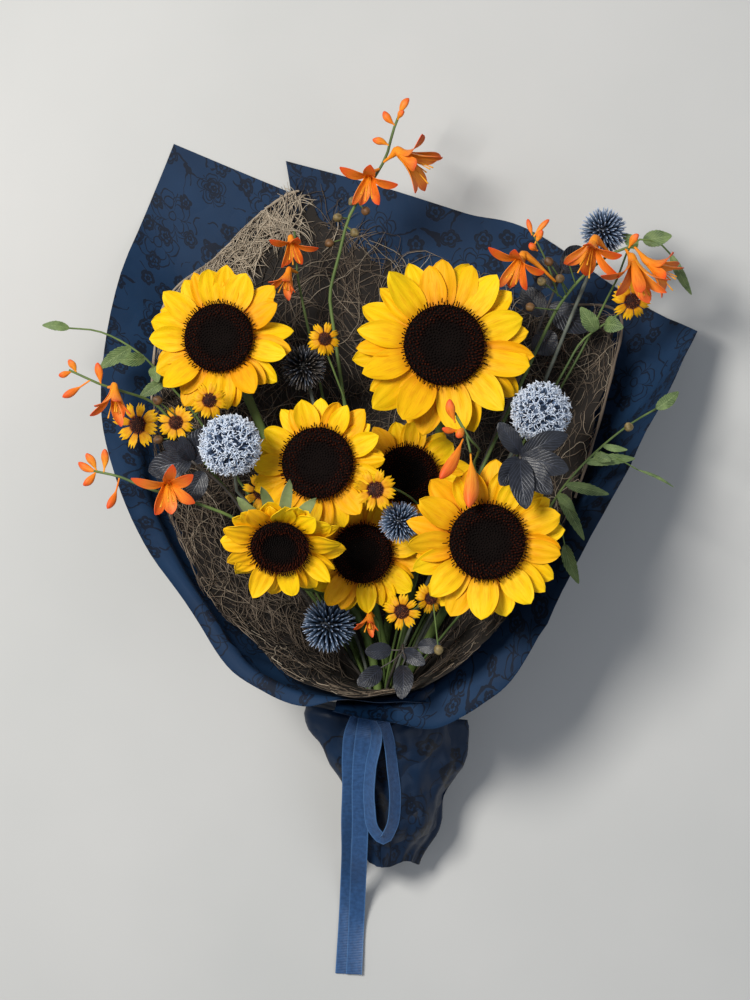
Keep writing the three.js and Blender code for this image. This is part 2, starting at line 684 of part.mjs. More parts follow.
// ---- Sunflowers ----
const BRACTS = 6;
const BRACT_LENGTH = 0.85;
const DISC_SIDES = 12;
for (const [key, { at, face, reach, disc, petals: count }] of Object.entries(SUNFLOWERS)) {
  const seed = key.charCodeAt(0);
  const name = "sunflower_" + key;
  const place = placed(at, face, draw(1, seed) * PI);

  // The disc: a low dome, sunk in the middle, with its florets as relief.
  const discRows = [[0.7, 0], [1, 3.4], [0.9, 6.9], [0.52, 6.4]];
  const rows = discRows.map(([share, height], k) =>
    Array.from({ length: DISC_SIDES }, (_, i) => {
      const angle = (2 * PI * i) / DISC_SIDES;
      const bump = k < 1 ? 0 : (i + k) % 2 ? 0.7 : -0.7;
      return V(disc * share * cos(angle), disc * share * sin(angle), height + bump);
    }),
  );
  const floretDisc = loft([...rows, [V(0, 0, 4.4)]]);
  add(name + "_disc", floretDisc.applyMatrix4(place), seedBrown);

  // Two layers of petals on a drum under the disc, the back one set between the petals of the front one.
  const drum = disc * 0.84;
  const rootWidth = 1.8 * drum * Math.tan(PI / count);
  const petal = (i) => {
    const front = i % 2;
    const width = PETAL.width * (reach / 55) * (0.88 + 0.22 * draw(i, seed + 1));
    return bladeRows({
      length: (reach - drum) * (front ? 0.9 : 1) * (0.88 + 0.14 * draw(i, seed)),
      rows: [[0, rootWidth], [0.42, width], [0.8, 0.78 * width]],
      thick: PETAL.thick,
      tilt: front ? 0.22 + 0.1 * draw(i, seed + 2) : 0.02 + 0.04 * draw(i, seed + 2),
      curl: -0.06 - 0.1 * draw(i, seed + 3),
      rise: front ? -1.5 : -2.9,
    });
  };
  const [foot, top] = [-3.6, -0.4];
  const corolla = crown({ count, radius: drum, foot, top, bladeAt: petal, above: [[0, top]], below: [[0, foot]] });
  add(name + "_petals", corolla.applyMatrix4(place), yellow);

  // The green cup and its bracts behind the petals, on the stem.
  const cupRadius = disc * 0.5;
  const bract = (i) =>
    bladeRows({
      length: disc * (BRACT_LENGTH + 0.25 * draw(i, seed + 5)) - 3,
      rows: [[0, 1.8 * cupRadius * Math.tan(PI / BRACTS)], [0.5, 9]],
      thick: 1.4,
      tilt: -0.12,
      curl: 0.02,
      rise: -7.2,
    });
  const ends = { above: [[disc * 0.7, -4], [0, -4]], below: [[5.5, -14], [0, -14.5]] };
  const cup = crown({ count: BRACTS, radius: cupRadius, foot: -9.5, top: -5.5, bladeAt: bract, ...ends });
  const stem = stemOf[name];
  add(name + "_stem", fused([cup.applyMatrix4(place), tube(stem.path, stem.radius, 5)]), stemGreen);
}

// ---- Globe thistles ----
// A ball of florets: each face of a geodesic ball is raised to a point, but for a bare patch at the stem.
for (const [key, { at, face, radius }] of Object.entries(THISTLES)) {
  const name = "globe_thistle_" + key;
  const core = radius * THISTLE_CORE;
  const ball = new THREE.IcosahedronGeometry(core, 1);
  ball.deleteAttribute("normal");
  ball.deleteAttribute("uv");
  const skin = mergeVertices(ball);
  const corners = skin.attributes.position;
  const points = Array.from({ length: corners.count }, (_, i) => V(0, 0, 0).fromBufferAttribute(corners, i));
  const faces = [];
  for (let f = 0; f < skin.index.count; f += 3) {
    const [a, b, c] = [0, 1, 2].map((k) => skin.index.getX(f + k));
    const tip = points[a].clone().add(points[b]).add(points[c]).normalize();
    if (tip.z < -0.9) {
      faces.push([a, b, c]);
      continue;
    }
    const t = points.push(tip.multiplyScalar(radius * (0.94 + 0.06 * draw(f, 7)))) - 1;
    faces.push([a, b, t], [b, c, t], [c, a, t]);
  }
  add(name + "_head", closed(points, faces).applyMatrix4(placed(at, face)), thistleBlue);
  add(name + "_stem", tube(stemOf[name].path, stemOf[name].radius, 4), stemGreen);
}

// ---- What stands on the sprays ----
// A crocosmia bud: a four-sided spindle on its stalk.
function bud(from, tip) {
  const along = tip.clone().sub(from);
  const length = along.length();
  const swell = min(2.6, length * 0.16);
  const foot = max(0, 1 - 13 / length);
  const at = (share) => from.clone().addScaledVector(along, share);
  return [tube([from, at(mix(foot, 1, 0.6)), tip], [0.7, swell, 0.5], 4)];
}

// A crocosmia flower: a narrow trumpet that opens into six pointed tepals.
function crocosmiaFlower(from, mouth, size, seed) {
  const along = mouth.clone().sub(from);
  const deep = along.length();
  const radius = size * 0.13;
  const tepal = (i) =>
    bladeRows({
      length: size * (0.78 + 0.2 * draw(i, seed)),
      rows: [[0, 1.8 * radius * Math.tan(PI / 6)], [0.55, size * 0.44]],
      thick: 1.3,
      tilt: 1.25 - 0.25 * (i % 2),
      curl: -0.5,
      arch: 0.25,
    });
  const ends = { above: [[0, -1]], below: [[radius * 0.65, -0.4 * deep], [0.8, -0.96 * deep], [0, -1.2 - deep]] };
  const trumpet = crown({ count: 6, radius, foot: -1.7, top: 1.2, bladeAt: tepal, ...ends });
  return [trumpet.applyMatrix4(placed(mouth, along))];
}

// A coneflower: a dark domed centre with six petals round it.
function daisy(centre, face, reach, seed) {
  const radius = reach * 0.3;
  const petal = (i) =>
    bladeRows({
      length: reach * (0.64 + 0.1 * draw(i, seed)),
      rows: [[0, 1.7 * radius * Math.tan(PI / 6)], [0.66, reach * 0.55]],
      thick: 1.2,
      tilt: 0.05,
      curl: -0.15,
      arch: 0.1,
    });
  const ends = { above: [[reach * 0.2, 3.4], [0, 4]], below: [[0, -1.8]] };
  const head = crown({ count: 6, radius, foot: -1.5, top: 1.6, bladeAt: petal, ...ends });
  return [head.applyMatrix4(placed(centre, face))];
}

// A seed capsule on its stalk.
function pod(from, at) {
  const beyond = at.clone().addScaledVector(at.clone().sub(from).normalize(), 2.6);
  return [tube([from, at, beyond], [0.6, 2.8, 1.2], 4)];
}

// A leaf from its foot in the stalk to its tip.
function leaf(from, tip, width) {
  const along = tip.clone().sub(from);
  const broad = [[0, LEAF.root], [0.3, 0.9 * width], [0.65, 0.85 * width]];
  const rows = width > 10 ? broad : [[0, LEAF.root], [0.5, width]];
  const shape = loft(bladeRows({ length: along.length(), rows, thick: LEAF.thick, arch: 0.2 }));
  return [shape.applyMatrix4(aimed(from, along))];
}

for (const [name, spray] of Object.entries(SPRAYS)) {
  const { path, radius } = stemOf[name];
  const pieces = [tube(path, radius, radius < 1.1 ? 3 : 4)];
  spray.items.forEach(([kind, from, to, size, extra, longStalk], i) => {
    const seed = name.charCodeAt(name.length - 1) + i;
    if (kind === "bud") pieces.push(...bud(from, to));
    if (kind === "pod") pieces.push(...pod(from, to));
    if (kind === "flower") pieces.push(...crocosmiaFlower(from, to, size, seed));
    if (kind === "leaf") {
      const along = to.clone().sub(from);
      const foot = longStalk ? to.clone().addScaledVector(along.clone().normalize(), -longStalk) : from;
      if (longStalk) pieces.push(tube([from, foot], 0.7, 4));
      pieces.push(...leaf(foot, to, size));
    }
    if (kind === "daisy") {
      pieces.push(...daisy(from, to, size, seed));
      if (extra) pieces.push(tube([extra, from], 0.8, 3));
    }
  });
  add(name, fused(pieces), spray.material);
}

// ---- The wrapping ----
// Each sheet is a fan of straight lines from the binding to its rim, every 12 degrees round: [degrees, rim x, y, z].
// A rim below zero is where the sheet would end if the surface that it lies on let it.
const STEP = 360 / LOOP_SIDES;
const NET_RIM = [
  [0, 5, 24, 158], [12, 26, 28, 158], [36, 72, 62, 147], [60, 122, 130, 116], [84, 165, 250, 62], [96, 173, 290, 40],
  [120, 100, 303, -30], [144, 40, 322, -80], [180, -20, 355, -90], [216, -71, 385, -70], [240, -125, 338, -10],
  [252, -162, 299, 35], [264, -169, 215, 62], [276, -160, 160, 82], [288, -134, 102, 102], [312, -93, 58, 130],
  [324, -68, 36, 147], [336, -45, 26, 154], [348, -21, 21, 158], [360, 5, 24, 158],
];
const LEFT_RIM = [
  [120, 95, 318, -160], [144, 30, 345, -190], [180, -30, 370, -210], [204, -84, 392, -200], [240, -158, 423, -40],
  [252, -195, 325, 22], [264, -206, 240, 55], [276, -195, 180, 82], [288, -170, 126, 110], [300, -135, 78, 131],
  [312, -110, 41, 142], [324, -82, 22, 148], [336, -56, 13, 150], [348, -30, 16, 150], [360, -4, 15, 144],
  [384, 34, 13, 132],
];
const RIGHT_RIM = [
  [-24, -37, 8, 149], [-12, -19, 4, 147], [0, 0, 1, 145], [24, 40, -1, 142], [36, 66, 12, 138],
  [48, 93, 35, 133], [60, 124, 92, 121], [72, 166, 170, 105], [84, 203, 238, 72], [96, 228, 280, 45],
  [108, 172, 316, -40], [120, 120, 352, -110], [144, 60, 371, -160], [168, 0, 390, -180], [204, -74, 410, -180],
];
// Below the binding the two papers flare into a skirt: [y, centre x, half width, half depth, centre z].
const SKIRT = [[-7, 0, 57, 36, 44], [-50, 8, 41, 30, 36], [-80, 8.5, 32, 26, 29], [-112, 5, 21, 20, 22]];
// Where the layers fold at the binding, each one that lies further out folds this much sooner.
const STAGGER = 1.3;
// How far out from the stems' loop the middle of each layer runs: over the twine, and one sheet over the other.
const NET_OUT = 2 * CLEAR + TWINE.thick + NET.thick / 2;
const INNER_OUT = NET_OUT + NET.thick / 2 + CLEAR + PAPER.thick / 2;
const OUTER_OUT = INNER_OUT + PAPER.thick + CLEAR;
const RIBBON_OUT = OUTER_OUT + PAPER.thick / 2 + 0.3;

function rimAt(rim, degrees) {
  const k = min(rim.findIndex(([at]) => at >= degrees) || 1, rim.length - 1);
  const [before, after] = [rim[k - 1], rim[k]];
  const t = (degrees - before[0]) / (after[0] - before[0]);
  return V(...[1, 2, 3].map((n) => mix(before[n], after[n], t)));
}

// The columns of a sheet, each from its rim down to the binding, with what follows it there.
const FAN = [1, 0.72, 0.42, 0.18];
function fan(rim, out, resting, below) {
  const count = (rim[rim.length - 1][0] - rim[0][0]) / STEP + 1;
  return Array.from({ length: count }, (_, c) => {
    const degrees = rim[0][0] + c * STEP;
    const angle = turn(degrees);
    const sooner = STAGGER * (out(degrees) - NET_OUT);
    const neck = onLoop(angle, out(degrees), NECK.high - sooner);
    const edge = rimAt(rim, degrees);
    const column = FAN.map((share) => neck.clone().lerp(edge, share));
    column.push(neck, onLoop(angle, out(degrees), NECK.low + sooner), ...below(angle, degrees));
    for (const point of column) point.z = max(point.z, resting);
    return column;
  });
}

// A sheet of even thickness about a grid of points. Where the grid lies on `resting` the sheet is exactly flat.
function sheet(grid, thick, resting, joined) {
  const [across, along] = [grid.length, grid[0].length];
  const neighbour = (c) => (joined ? grid[(c + across) % across] : grid[min(max(c, 0), across - 1)]);
  const faceOf = (side) =>
    grid.map((column, c) =>
      column.map((point, r) => {
        if (point.z === resting) return V(point.x, point.y, point.z + (side * thick) / 2);
        const round = neighbour(c + 1)[r].clone().sub(neighbour(c - 1)[r]);
        const down = column[min(r + 1, along - 1)].clone().sub(column[max(r - 1, 0)]);
        return point.clone().addScaledVector(round.cross(down).normalize(), (side * thick) / 2);
      }),
    );
  const points = [faceOf(1), faceOf(-1)].flat(2);
  const at = (side, c, r) => (side * across + (c % across)) * along + r;
  const faces = [];
  const cell = (a, b, c, d) => faces.push([a, b, c], [a, c, d]);
  for (let c = 0; c < (joined ? across : across - 1); c++) {
    for (let r = 0; r + 1 < along; r++) {
      cell(at(0, c, r), at(0, c, r + 1), at(0, c + 1, r + 1), at(0, c + 1, r));
      const [p, q, s, t] = [at(1, c, r), at(1, c, r + 1), at(1, c + 1, r + 1), at(1, c + 1, r)];
      faces.push([p, s, q], [p, t, s]);
    }
    cell(at(0, c + 1, 0), at(1, c + 1, 0), at(1, c, 0), at(0, c, 0));
    cell(at(0, c, along - 1), at(1, c, along - 1), at(1, c + 1, along - 1), at(0, c + 1, along - 1));
  }
  for (let r = 0; !joined && r + 1 < along; r++) {
    cell(at(0, 0, r), at(1, 0, r), at(1, 0, r + 1), at(0, 0, r + 1));
    cell(at(0, across - 1, r + 1), at(1, across - 1, r + 1), at(1, across - 1, r), at(0, across - 1, r));
  }
  return closed(points, faces);
}

const PAPER_REST = PAPER.thick / 2;
const OVERLAP_REST = PAPER_REST + PAPER.thick + CLEAR;
const NET_REST = OVERLAP_REST + PAPER.thick / 2 + CLEAR + NET.thick / 2 + 0.2;

// The fibre net: a closed funnel, rough all over and ragged at the rim.
const netGrid = fan(NET_RIM, () => NET_OUT, NET_REST, () => []).slice(0, -1);
netGrid.forEach((column, c) => {
  const away = column[0].clone().sub(column[1]).normalize();
  column[0].addScaledVector(away, NET.fringe * (draw(c, 11) - 0.3));
  column.slice(1, 4).forEach((point, r) => {
    const out = away.clone().cross(V(0, 0, 1)).normalize();
    if (point.z > NET_REST) point.addScaledVector(out, NET.relief * (draw(5 * c + r, 12) - 0.5));
  });
});
add("fibre_wrap", sheet(netGrid, NET.thick, NET_REST, true), fibre);

// The papers' skirt: pleated, with the outer layer a little wider than the inner one.
function skirt(out) {
  return (angle, degrees) => {
    const inward = 1.8 * (OUTER_OUT - out(degrees));
    return SKIRT.map(([y, x, wide, deep, z], k) => {
      const swell = 1 + PAPER.pleat * sin(5 * angle + 1) + 0.5 * PAPER.pleat * cos(9 * angle);
      const ragged = k === SKIRT.length - 1 ? PAPER.raggedness * sin(3 * angle) : 0;
      const shift = k === 0 ? -STAGGER * inward : ragged;
      const [across, depth] = [wide * swell - inward, deep * swell - inward];
      return V(x + across * sin(angle), y + shift, z + depth * cos(angle));
    });
  };
}
const leftOut = (degrees) => mix(OUTER_OUT, INNER_OUT, min(1, max(0, (degrees - 204) / 132)));
const rightOut = (degrees) => mix(OUTER_OUT, INNER_OUT, min(1, max(0, (degrees - 24) / 96)));
const leftGrid = fan(LEFT_RIM, leftOut, PAPER_REST, skirt(leftOut));
// The left sheet's far edge bows out between its two corners, 120 degrees apart.
const bowed = 120 / STEP;
leftGrid.slice(0, bowed).forEach(([edge], c) => {
  edge.y += PAPER.bow * sin((PI * c) / bowed);
});
add("paper_wrap_left", sheet(leftGrid, PAPER.thick, PAPER_REST), paperBlue);
const rightGrid = fan(RIGHT_RIM, rightOut, OVERLAP_REST, skirt(rightOut));
add("paper_wrap_right", sheet(rightGrid, PAPER.thick, OVERLAP_REST), paperBlue);

// ---- The ribbon ----
// The height of the skirt's top at x, y.
function skirtTop(x, y) {
  const k = min(max(1, SKIRT.findIndex((row) => row[0] <= y)), SKIRT.length - 1);
  const t = (y - SKIRT[k - 1][0]) / (SKIRT[k][0] - SKIRT[k - 1][0]);
  const [middle, wide, deep, z] = [1, 2, 3, 4].map((n) => mix(SKIRT[k - 1][n], SKIRT[k][n], t));
  return z + deep * sqrt(max(0, 1 - ((x - middle) / wide) ** 2));
}

// A flat band along points. lean is how far it stands up on its edge, in degrees.
function strap(path, lean) {
  const rings = path.map((point, k) => {
    const ahead = path[min(k + 1, path.length - 1)].clone().sub(path[max(k - 1, 0)]).normalize();
    const level = V(0, 0, 1).cross(ahead).normalize();
    const upright = ahead.clone().cross(level);
    const across = level.clone().multiplyScalar(cos(turn(lean))).addScaledVector(upright, sin(turn(lean)));
    const through = ahead.clone().cross(across);
    across.multiplyScalar(RIBBON.width / 2);
    through.multiplyScalar(RIBBON.thick / 2);
    const corners = [[1, 1], [-1, 1], [-1, -1], [1, -1]];
    return corners.map(([w, t]) => point.clone().addScaledVector(across, w).addScaledVector(through, t));
  });
  return loft(rings);
}

const knotAngle = turn(-28);
const knot = onLoop(knotAngle, RIBBON_OUT + 4.8, 8);
const lying = (x, y, lift) => V(x, y, max(...[-6, 0, 6].map((off) => skirtTop(x + off, y))) + lift);
const leftTail = [V(knot.x - 2, 7, knot.z), lying(-23, -10, 3.6), lying(-25, -28, 2.4), lying(-25, -50, 2.4)];
leftTail.push(V(-26, -78, 45), V(-26, -104, 25), V(-27, -128, 7), V(-28, -150, 1), V(-31, -199, 0.7));
const rightTail = [V(knot.x + 1, 7, knot.z + 1), lying(-15, -10, 5), lying(-17, -28, 4.6), lying(-18, -50, 5)];
rightTail.push(V(-18, -80, 54), V(-19, -108, 39), V(-20, -132, 16), V(-21, -156, 4), V(-23, -199, 2.6));
const loop = [V(knot.x, 7, knot.z + 2), lying(-6, -10, 10), lying(-10, -36, 9.5), lying(-11, -64, 9.5)];
loop.push(lying(-7, -84, 8.5), lying(-1, -90, 8), lying(4, -82, 8), lying(7, -62, 8), lying(5, -36, 8));
loop.push(lying(2, -14, 8), lying(-1, -4, 9), V(knot.x + 3, 7, knot.z + 1));
const knotBall = new THREE.SphereGeometry(1, 6, 4).scale(6.5, 4.2, 5.5).rotateX(PI / 2).rotateY(knotAngle);
knotBall.translate(knot.x, 8, knot.z);
const ties = band(RIBBON_OUT, RIBBON_OUT + RIBBON.thick, RIBBON.low, RIBBON.low + RIBBON.width);
add("ribbon", fused([ties, knotBall, strap(leftTail, 0), strap(rightTail, 0), strap(loop, 48)]), ribbonBlue);

bunch.position.y = -REST_FROM_NECK;
export default bunch;
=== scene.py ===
"""A bunch of sunflowers that lies on its back: seven sunflowers with globe thistles, crocosmia, coneflowers,
dark foliage and green sprigs, bound with twine, in a fibre net, two printed papers and a ribbon.
Lengths in the sections are millimetres: X across the bunch, Y from the cut stems to the flower tips and Z up,
from the surface under the binding. Each finished mesh is moved to the part's own frame, in metres."""

import bmesh
import bpy
import numpy as np
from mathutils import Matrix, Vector


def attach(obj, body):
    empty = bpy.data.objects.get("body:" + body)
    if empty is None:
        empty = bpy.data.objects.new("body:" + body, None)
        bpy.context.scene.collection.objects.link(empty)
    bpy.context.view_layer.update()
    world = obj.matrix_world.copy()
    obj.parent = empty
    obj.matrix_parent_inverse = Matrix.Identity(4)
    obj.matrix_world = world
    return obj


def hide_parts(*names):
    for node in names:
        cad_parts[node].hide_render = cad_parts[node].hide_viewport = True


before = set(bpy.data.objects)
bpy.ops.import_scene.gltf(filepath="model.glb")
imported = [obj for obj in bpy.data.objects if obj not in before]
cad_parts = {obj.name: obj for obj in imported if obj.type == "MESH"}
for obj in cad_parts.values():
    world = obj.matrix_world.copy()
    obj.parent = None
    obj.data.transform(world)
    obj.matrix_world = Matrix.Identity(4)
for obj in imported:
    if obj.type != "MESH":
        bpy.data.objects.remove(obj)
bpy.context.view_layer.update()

# ---- Camera, floor and light ----
# The bunch lies on a pale table top. The camera looks straight down on it, as far above it as one stands from
# a bunch held up, and the light falls softly from the upper left.
lens = bpy.data.cameras.new("camera")
lens.lens = 86.4
lens.sensor_width = 36
camera = bpy.data.objects.new("camera", lens)
camera.location = (-0.0072, -0.014, 1.8)
bpy.context.collection.objects.link(camera)
bpy.context.scene.camera = camera
bpy.context.scene.view_settings.view_transform = "Standard"


def lamp(name, place, aim, size, power, colour):
    """A square soft light at place, turned to aim, in metres and watts."""
    light = bpy.data.lights.new(name, "AREA")
    light.size = size
    light.energy = power
    light.color = colour
    holder = bpy.data.objects.new(name, light)
    holder.location = place
    holder.rotation_euler = (Vector(aim) - Vector(place)).to_track_quat("-Z", "Y").to_euler()
    bpy.context.collection.objects.link(holder)


lamp("window", (-0.85, 0.5, 1.75), (0, 0, 0.1), 0.55, 38, (1.0, 0.97, 0.92))
lamp("sky", (1.1, -0.6, 1.6), (0, 0, 0.05), 1.4, 5, (0.86, 0.92, 1.0))
world = bpy.data.worlds.new("studio")
world.use_nodes = True
world.node_tree.nodes["Background"].inputs["Color"].default_value = (0.85, 0.9, 1.0, 1)
world.node_tree.nodes["Background"].inputs["Strength"].default_value = 0.26
bpy.context.scene.world = world


def put(material, kind, inputs=None, **settings):
    """A shader node of that kind, with its settings, and its inputs joined to sockets or set to values."""
    made = material.node_tree.nodes.new("ShaderNode" + kind)
    for key, value in settings.items():
        setattr(made, key, value)
    for key, value in (inputs or {}).items():
        if isinstance(value, bpy.types.NodeSocket):
            material.node_tree.links.new(value, made.inputs[key])
        else:
            made.inputs[key].default_value = value
    return made


def rgb(red, green, blue):
    """A screen colour, 0 to 255, as linear light."""
    part = np.array([red, green, blue]) / 255
    return (*np.where(part <= 0.04045, part / 12.92, ((part + 0.055) / 1.055) ** 2.4), 1.0)


def ramp(material, share, stops):
    """Colours that follow share: stops gives the screen colour, or the grey, at each share."""
    made = put(material, "ValToRGB", {"Fac": share})
    while len(made.color_ramp.elements) < len(stops):
        made.color_ramp.elements.new(0.5)
    for element, (at, colour) in zip(made.color_ramp.elements, stops.items()):
        element.position = at
        element.color = rgb(*colour) if isinstance(colour, tuple) else (colour, colour, colour, 1)
    return made.outputs["Color"]


def grain(material, scale, detail, where="Object", stretch=(1, 1, 1), rough=0.5):
    """Noise at that scale, in the piece's own metres or along its UV map, stretched by stretch."""
    source = put(material, "TexCoord").outputs[where]
    source = put(material, "Mapping", {"Vector": source, "Scale": stretch}).outputs[0]
    made = put(material, "TexNoise", {"Vector": source, "Scale": scale, "Detail": detail, "Roughness": rough})
    return made.outputs["Fac"]


def painted(material, name, colour, roughness, height=None, strength=0.3, depth=0.0004, **shine):
    """Finishes a material: colour and roughness are sockets or values, and its bump follows height."""
    material.name = name
    shader = material.node_tree.nodes["Principled BSDF"]
    links = material.node_tree.links
    for key, value in (("Base Color", colour), ("Roughness", roughness)):
        if isinstance(value, bpy.types.NodeSocket):
            links.new(value, shader.inputs[key])
        else:
            shader.inputs[key].default_value = value
    if height is not None:
        inputs = {"Height": height, "Strength": strength, "Distance": depth}
        links.new(put(material, "Bump", inputs).outputs[0], shader.inputs["Normal"])
    for key, value in shine.items():
        shader.inputs[key.replace("_", " ")].default_value = value
    return material


def blank():
    """A new material to build on."""
    material = bpy.data.materials.new("finish")
    material.use_nodes = True
    return material


board = blank()
board_colour = ramp(board, grain(board, 3.0, 4), {0.35: (196, 197, 195), 0.65: (204, 204, 202)})
board = painted(board, "table_top", board_colour, 0.85)
top = bpy.data.meshes.new("table_top")
top.from_pydata([(-4, -4, 0), (4, -4, 0), (4, 4, 0), (-4, 4, 0)], [], [(0, 1, 2, 3)])
table_top = bpy.data.objects.new("table_top", top)
table_top.location.z = -0.0004
table_top.data.materials.append(board)
bpy.context.collection.objects.link(table_top)

# ---- The binding twine ----
# Six turns of a three-ply buff twine hold all the stems together under the wrapping. The turns follow the
# tight loop round the stems, which is read from the twine's own solid.
LAID = np.array([0.0, -170.0, 0.0])
NECK_HEIGHT = 50
TWINE_OUT = 1.8


def corners_of(name):
    """A solid's triangles, as (triangles, 3, 3), in the sections' millimetres."""
    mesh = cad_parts[name].data
    mesh.calc_loop_triangles()
    spots = np.empty(3 * len(mesh.vertices))
    mesh.vertices.foreach_get("co", spots)
    index = np.empty(3 * len(mesh.loop_triangles), int)
    mesh.loop_triangles.foreach_get("vertices", index)
    return (spots.reshape(-1, 3)[index] * 1000 - LAID).reshape(-1, 3, 3)


LOOP_TURNS = np.arange(30) * np.pi / 15
twine_spots = corners_of("binding_twine").reshape(-1, 3)
LOOP_REACH = (
    twine_spots[:, :1] * np.sin(LOOP_TURNS) + (twine_spots[:, 2:] - NECK_HEIGHT) * np.cos(LOOP_TURNS)
).max(axis=0) - TWINE_OUT


def on_loop(angle, out, y):
    """Points of the loop round the stems, let out by out: angle 0 is the front, +Z, and a quarter turn is +X.
    The loop's radius is the least of (reach + out) / cos(angle from there) over its thirty tangents."""
    angle, out, y = np.broadcast_arrays(angle, out, y)
    across = np.cos(angle[..., None] - LOOP_TURNS)
    radius = np.where(across > 0.2, (LOOP_REACH + out[..., None]) / np.maximum(across, 0.2), np.inf).min(-1)
    return np.stack([radius * np.sin(angle), y + 0.0, NECK_HEIGHT + radius * np.cos(angle)], -1)


def unit(arrows):
    """Each arrow at length one."""
    return arrows / np.maximum(np.linalg.norm(arrows, axis=-1, keepdims=True), 1e-9)


def swept(path, radius, sides, hint):
    """Round tubes: at each point of each path, a ring of that radius square to the path. path is (tubes,
    points, 3), and hint is an arrow, not along the path, that the rings start from."""
    ahead = unit(np.gradient(path, axis=1))
    side = unit(np.cross(ahead, hint))
    up = np.cross(ahead, side)
    turn = (np.arange(sides) * 2 * np.pi / sides)[:, None]
    ring = side[:, :, None] * np.cos(turn) + up[:, :, None] * np.sin(turn)
    return path[:, :, None] + ring * np.broadcast_to(radius, path.shape[:2])[:, :, None, None]


def skin(grid, tint=0.5, joined=False, capped=False):
    """A shape from grids of points (copies, rows, columns, 3): four-sided faces between neighbours, the last
    column joined to the first one if joined, and the end rows closed if capped. With it go the share along,
    the share across and the tint of every point."""
    copies, rows, columns = grid.shape[:3]
    index = np.arange(copies * rows * columns).reshape(copies, rows, columns)
    here, beside = (index, np.roll(index, -1, 2)) if joined else (index[:, :, :-1], index[:, :, 1:])
    faces = [np.stack([here[:, :-1], beside[:, :-1], beside[:, 1:], here[:, 1:]], -1).reshape(-1, 4)]
    if capped:
        faces.append(np.concatenate([index[:, 0, ::-1], index[:, -1]]))
    along = np.linspace(0, 1, rows)[None, :, None]
    across = np.linspace(0, 1, columns + joined)[: columns][None, None]
    tone = np.stack(np.broadcast_arrays(along, across, np.reshape(tint, (-1, 1, 1)) + 0 * index), -1)
    return grid.reshape(-1, 3), faces, tone.reshape(-1, 3)


def closed(grid, tint=0.5):
    """A shape from grids whose columns close to rings, with its ends capped."""
    return skin(grid, tint, joined=True, capped=True)


def settled(name, mesh, material, solids):
    """The mesh as the piece of that name: it rides on the bunch and stands for those solids."""
    mesh.materials.clear()
    mesh.materials.append(material)
    piece = bpy.data.objects.new(name, mesh)
    bpy.context.collection.objects.link(piece)
    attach(piece, "root")
    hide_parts(*solids)
    return piece


def add_piece(name, shape, material, solids, thick=0.0):
    """A piece made of a shape. A thin blade gets its thickness, in millimetres, evenly to both sides, and its
    edges stay crisp."""
    points, faces, tone = shape
    mesh = bpy.data.meshes.new(name)
    mesh.vertices.add(len(points))
    mesh.vertices.foreach_set("co", ((points + LAID) * 0.001).ravel())
    corner = np.concatenate([face.ravel() for face in faces])
    sizes = np.concatenate([np.full(len(face), face.shape[1]) for face in faces])
    mesh.loops.add(len(corner))
    mesh.loops.foreach_set("vertex_index", corner)
    mesh.polygons.add(len(sizes))
    mesh.polygons.foreach_set("loop_start", np.cumsum(sizes) - sizes)
    mesh.polygons.foreach_set("use_smooth", np.ones(len(sizes), bool))
    mesh.uv_layers.new(name="shares").uv.foreach_set("vector", tone[corner, :2].ravel())
    mesh.attributes.new("tint", "FLOAT", "POINT").data.foreach_set("value", tone[:, 2])
    mesh.update(calc_edges=True)
    beside = np.empty(len(mesh.loops), int)
    mesh.loops.foreach_get("edge_index", beside)
    sharp = mesh.attributes.new("sharp_edge", "BOOLEAN", "EDGE")
    sharp.data.foreach_set("value", np.bincount(beside, minlength=len(mesh.edges)) == 1)
    mesh.validate()
    piece = settled(name, mesh, material, solids)
    if thick:
        wall = piece.modifiers.new("thickness", "SOLIDIFY")
        wall.thickness = thick * 0.001
        wall.offset = 0
    return piece


def sums(material, how, first, second=0.0):
    """The Math node how, on sockets or numbers."""
    return put(material, "Math", {0: first, 1: second}, operation=how).outputs[0]


def mottled(material, scale, detail, low, high, *lie):
    """A colour that runs from low to high with the grain."""
    return ramp(material, grain(material, scale, detail, *lie), {0.3: low, 0.7: high})


turns = np.linspace(0, 6, 361)
strand = on_loop(turns * 2 * np.pi, 0.85, 5.9 + turns * 1.05)
turns_shape = closed(swept(strand[None], 0.62, 6, (0, 1, 0)))
buff = blank()
buff_ply = sums(buff, "SINE", sums(buff, "MULTIPLY", put(buff, "UVMap").outputs[0], 1500.0))
buff_colour = mottled(buff, 900, 3, (110, 90, 58), (186, 164, 120))
buff = painted(buff, "twine", buff_colour, 0.9, buff_ply, 0.6)
add_piece("twine_turns", turns_shape, buff, ["binding_twine"])

# ---- The sunflowers ----
# Each head has two layers of soft yellow petals round a dark disc, whose florets stand in spirals, on a green
# cup with pointed bracts and a hairy stem. The petals and disc are grown round the head's middle; the stem
# keeps the run of its solid. An entry: the head's middle, the way it faces, how far its petals reach, the
# radius of its disc and how many petals it has.
SUNFLOWERS = {
    "a": ((-117, 270, 105), (-0.1, 0.12, 1), 52, 25.5, 18),
    "b": ((41, 264, 120), (0.06, 0.06, 1), 64, 29.5, 20),
    "c": ((-46, 181, 158), (-0.1, 0.05, 1), 47, 25.5, 18),
    "d": ((16, 173, 94), (0.1, 0.3, 1), 45, 22, 16),
    "e": ((68, 128, 184), (0.04, 0, 1), 54, 26.5, 18),
    "f": ((-71, 126, 186), (-0.06, -0.6, 1), 43, 20.5, 18),
    "g": ((-16, 119, 126), (0, -0.1, 1), 44, 21.5, 16),
}


